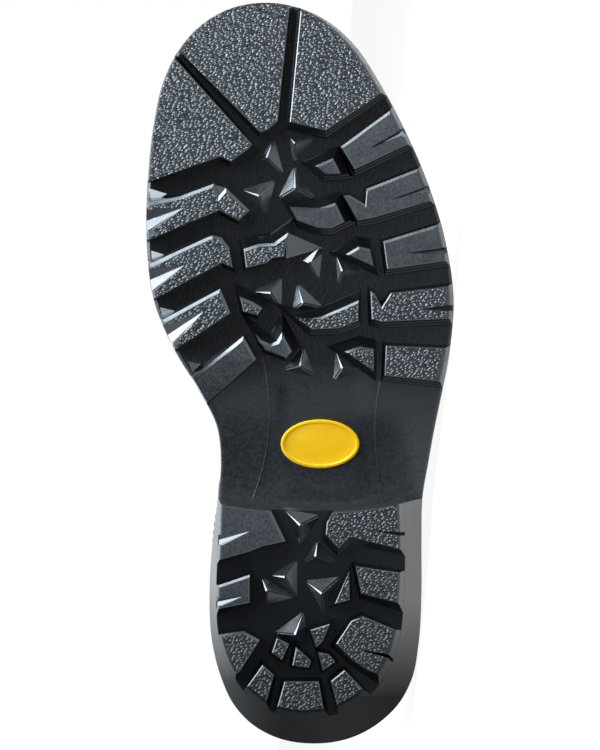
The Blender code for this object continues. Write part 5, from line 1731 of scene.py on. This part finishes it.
def facing_edges(rows):
    """Edges of a facing beside the throat and away from it. It widens above the vamp."""
    gap = throat_gap(rows)
    widened = FACING_WIDENS * smooth_step((rows - SEAM_ROW - 0.6) / 1.4)
    return span_at(rows, gap + FACING_NEAR), span_at(rows, gap + FACING_FAR + widened)


facing_rows = dense_rows(SEAM_ROW + 0.625, COLLAR_ROW - 0.5)
facing_near, facing_far = facing_edges(facing_rows)
for label, side in (("inner", -1.0), ("outer", 1.0)):
    facing_mesh = leather(facing_rows, facing_far, facing_near, 12, OVERLAY_BACK, OVERLAY_FACE, (side,),
                          folds=False)
    leather_piece(f"{label}_facing_leather", facing_mesh, (FACING_LEATHER, FACING_LEATHER), 0.5, "facing",
                  f"eyestay_{label}")

# %% [markdown]
# ## Seams
# Every patch is sewn down with a double row near its edge. The paths lie on the same form as the leather, a
# little inside each patch's border, and all the stitches become one piece.

# %% Stitches on the upper
SEAM_PROUD = 0.1
SEAM_POINTS = 90
VAMP_INSETS = (0.13, 0.27)
COUNTER_INSETS = (0.035, 0.075)
FACING_INSETS = (1.6 / 20.0, 3.8 / 20.0)
THROAT_INSET = 0.1
COLLAR_SEAM = COLLAR_ROW - 0.25
seams, seam_ways = [], []


def add_seam(rows, spans, side, surface):
    """Points along a line just proud of a surface, with the way out at each."""
    rows = np.asarray(rows, float)
    normal = outward(rows, spans[:, None], side)[:, 0]
    seams.append(form(rows, spans[:, None], side)[:, 0] + normal * (surface + SEAM_PROUD))
    seam_ways.append(normal)


for side in (-1.0, 1.0):
    for inset in VAMP_INSETS:
        rows = np.full(SEAM_POINTS, SEAM_ROW + inset)
        add_seam(rows, np.linspace(0.03, 0.90, SEAM_POINTS), side, OVERLAP_STEP)
    rows = dense_rows(COUNTER[0].row + 0.25, COUNTER[-1].row - 0.2)
    for inset in COUNTER_INSETS:
        add_seam(rows, counter_top(rows) - inset, side, OVERLAY_FACE)
    rows = dense_rows(SEAM_ROW + 0.75, COLLAR_ROW - 0.55)
    near, far = facing_edges(rows)
    for inset in FACING_INSETS:
        add_seam(rows, far + (near - far) * inset, side, OVERLAY_FACE)
    rows = dense_rows(SEAM_ROW + 1.2, COLLAR_ROW - 0.55)
    near, far = facing_edges(rows)
    add_seam(rows, near - (near - far) * THROAT_INSET, side, OVERLAY_FACE)
    rows = np.full(SEAM_POINTS, COLLAR_SEAM)
    collar_front = span_at(rows, throat_gap(rows) + 2.0)
    add_seam(rows, np.linspace(0.01, 1.0, SEAM_POINTS) * collar_front, side, OVERLAP_STEP)
upper_stitches = stitch_row("upper_stitches", seams, seam_ways)
dress(upper_stitches, "leather")

# %% [markdown]
# ## Eyelets
# Fourteen brass eyelets line the throat, evenly along the facings. One ring is turned from its section, and a
# small tree sets it on every point, facing out of the leather there.

# %% Places of the eyelets
EYELET_PAIRS = 7
EYELET_INSET = 9.0
EYELET_BASE = OVERLAY_FACE
EYELET_TOP = EYELET_BASE + 2.4


def hole_reach(row):
    """How far out from the front line an eyelet sits."""
    return float(throat_gap(row)) + EYELET_INSET


def eyelet_rows():
    """Rows of the sections at which the eyelets sit, evenly along the facing."""
    rows = np.linspace(SEAM_ROW + 0.75, COLLAR_ROW - 0.6, 200)
    line = np.array([facing_point(row, hole_reach(row), 1.0, 0.0)[0] for row in rows])
    along = travelled(line)
    return np.interp(np.linspace(0.0, along[-1], EYELET_PAIRS), along, rows)


rows_of_eyelets = eyelet_rows()
eyelet_places, eyelet_ways = [], []
for side in (-1.0, 1.0):
    for row in rows_of_eyelets:
        point, normal = facing_point(row, hole_reach(row), side, EYELET_BASE)
        eyelet_places.append(point)
        eyelet_ways.append(normal)
print("eyelets:", len(eyelet_places))

# %% Eyelets with Geometry Nodes
EYELET_SECTION = ((2.5, -1.2), (2.5, 1.9), (2.75, 2.3), (3.2, 2.45), (3.8, 2.25), (4.35, 1.6), (4.6, 0.7),
                  (4.6, -0.3), (3.6, -1.2))


def ring_tree():
    tree, given, made = new_tree("set_rings", (("Ring", "NodeSocketObject"), ("Brass", "NodeSocketMaterial")))
    points = tree.nodes.new("GeometryNodeMeshToPoints")
    ring = tree.nodes.new("GeometryNodeObjectInfo")
    turn = tree.nodes.new("FunctionNodeAlignRotationToVector")
    turn.axis = "Z"
    rings = tree.nodes.new("GeometryNodeInstanceOnPoints")
    chain(tree, given.outputs["Geometry"], points.inputs["Mesh"],
          given.outputs["Ring"], ring.inputs["Object"], points.outputs["Points"], rings.inputs["Points"],
          ring.outputs["Geometry"], rings.inputs["Instance"], stored_way_out(tree), turn.inputs["Vector"],
          turn.outputs["Rotation"], rings.inputs["Rotation"])
    return end_tree(tree, made, rings.outputs["Instances"], given.outputs["Brass"])


def turned_ring(count=28):
    bm = bmesh.new()
    turn = np.linspace(0.0, math.tau, count, endpoint=False)
    rings = [np.column_stack([r * np.cos(turn), r * np.sin(turn), np.full(count, h)]) * MM
             for r, h in EYELET_SECTION]
    skin_rings(bm, rings + rings[:1])
    bmesh.ops.remove_doubles(bm, verts=bm.verts, dist=1e-6)
    bmesh.ops.recalc_face_normals(bm, faces=bm.faces)
    mesh = bpy.data.meshes.new("eyelet_pattern")
    bm.to_mesh(mesh)
    bm.free()
    mesh.shade_smooth()
    obj = bpy.data.objects.new("eyelet_pattern", mesh)
    studio.collection.objects.link(obj)
    return obj


pattern = turned_ring()
eyelets = path_object("brass_eyelets", [[p] for p in eyelet_places], [[w] for w in eyelet_ways])
run_tree(eyelets, ring_tree(), Ring=pattern, Brass=BRASS)
bpy.data.objects.remove(pattern)
eyelet_nodes = [f"eyelet_{label}_{k + 1}" for label in ("inner", "outer") for k in range(EYELET_PAIRS)]
dress(eyelets, "brass", *eyelet_nodes)

# %% [markdown]
# ## Lace
# One cord laces the boot. It lies over the throat in a bar at the lowest pair, then its two halves cross from
# pair to pair: each comes down through an eyelet, runs under that facing, crosses the tongue and goes over
# the other facing to the eyelet below. The ends stop in the top eyelets. The braid follows the cord's own UV
# map.

# %% Route of the lace
LACE = 3.6
OVER = EYELET_TOP + LACE / 2
UNDER = -(WALL + LACE / 2 + 0.1)
IN_HOLE = EYELET_BASE - 1.0
CROSS_RISE = 1.9
LACE_STEPS = 1100


def lace_stop(row, reach, out):
    """A place for the cord: a row, a reach with its side's sign, and a height out of the form."""
    return facing_point(row, abs(reach), 1.0 if reach >= 0 else -1.0, out)[0]


def down_one(k, side, above):
    """The cord from the eyelet of pair k + 1 on one side to that of pair k on the other."""
    top, low = rows_of_eyelets[k + 1], rows_of_eyelets[k]
    hole_top, hole_low = hole_reach(top), hole_reach(low)
    ends_under = k == 0
    stops = []
    for f, share, out in ((0.03, 0.86, UNDER), (0.20, 0.55, UNDER), (0.5, 0.0, 0.7 + above * CROSS_RISE),
                          (0.80, -0.55, UNDER if ends_under else OVER - 1.4),
                          (0.97, -0.86, UNDER if ends_under else OVER)):
        row = top + (low - top) * f
        hole = hole_top if share > 0 else hole_low
        stops.append(lace_stop(row, side * share * hole, out))
    return stops


def half_lace(side, above):
    """Half the lace, from its end in a top eyelet to the lowest pair."""
    stops = []
    for k in range(EYELET_PAIRS - 2, -1, -1):
        top = rows_of_eyelets[k + 1]
        hole = side * hole_reach(top)
        stops.append(lace_stop(top, hole, IN_HOLE + 1.0))
        stops.append(lace_stop(top, hole, (IN_HOLE + UNDER) / 2))
        stops += down_one(k, side, above)
        side, above = -side, -above
    low = rows_of_eyelets[0]
    hole = side * hole_reach(low)
    stops.append(lace_stop(low, hole, (IN_HOLE + UNDER) / 2))
    stops.append(lace_stop(low, hole, IN_HOLE + 1.0))
    stops.append(lace_stop(low, hole * 0.86, OVER))
    return stops, side


first_half, low_side = half_lace(-1.0, 1.0)
second_half, _ = half_lace(1.0, -1.0)
low_row = rows_of_eyelets[0]
bar_reach = hole_reach(low_row)
bar = [lace_stop(low_row, low_side * bar_reach * f, OVER - 1.2 * (1 - abs(f))) for f in (0.45, 0.0, -0.45)]
lace_line = smooth_through(first_half + bar + second_half[::-1], per_span=10)
lace_line = even_steps(lace_line, LACE_STEPS)
print("points of the lace:", len(lace_line))

# %% Cord along the route
BRAIDS_ROUND = 4.0
BRAID_LENGTH = 3.0


def tube(line, radius, count=12):
    """A round cord along a line, with a UV map that runs round and along it."""
    along = np.gradient(line, axis=0)
    along /= np.linalg.norm(along, axis=1)[:, None]
    gone = travelled(line)
    bm = bmesh.new()
    uv = bm.loops.layers.uv.new("UVMap")
    aside_now = np.cross(along[0], (0.0, 1.0, 0.0))
    rings = []
    for point, way in zip(line, along):
        aside_now = aside_now - way * (aside_now @ way)
        aside_now /= np.linalg.norm(aside_now)
        up_now = np.cross(way, aside_now)
        turn = np.linspace(0.0, math.tau, count, endpoint=False)[:, None]
        ring = point + radius * (np.cos(turn) * aside_now + np.sin(turn) * up_now)
        rings.append([bm.verts.new(p) for p in ring])
    for i, (low, high) in enumerate(zip(rings, rings[1:])):
        for j in range(count):
            face = bm.faces.new((low[j], low[(j + 1) % count], high[(j + 1) % count], high[j]))
            marks = ((j, i), (j + 1, i), (j + 1, i + 1), (j, i + 1))
            for loop, (round_at, at) in zip(face.loops, marks):
                loop[uv].uv = (round_at / count * BRAIDS_ROUND, gone[at] / BRAID_LENGTH)
    bm.faces.new(rings[0][::-1])
    bm.faces.new(rings[-1])
    bmesh.ops.recalc_face_normals(bm, faces=bm.faces)
    return bm, gone[-1]


lace_mesh, lace_length = tube(lace_line, LACE / 2)
lace = new_mesh_object("lace_cord", lace_mesh, (CORD,), 60.0)
dress(lace, "cord", "lace")
print("lace between its ends:", round(lace_length), "mm")
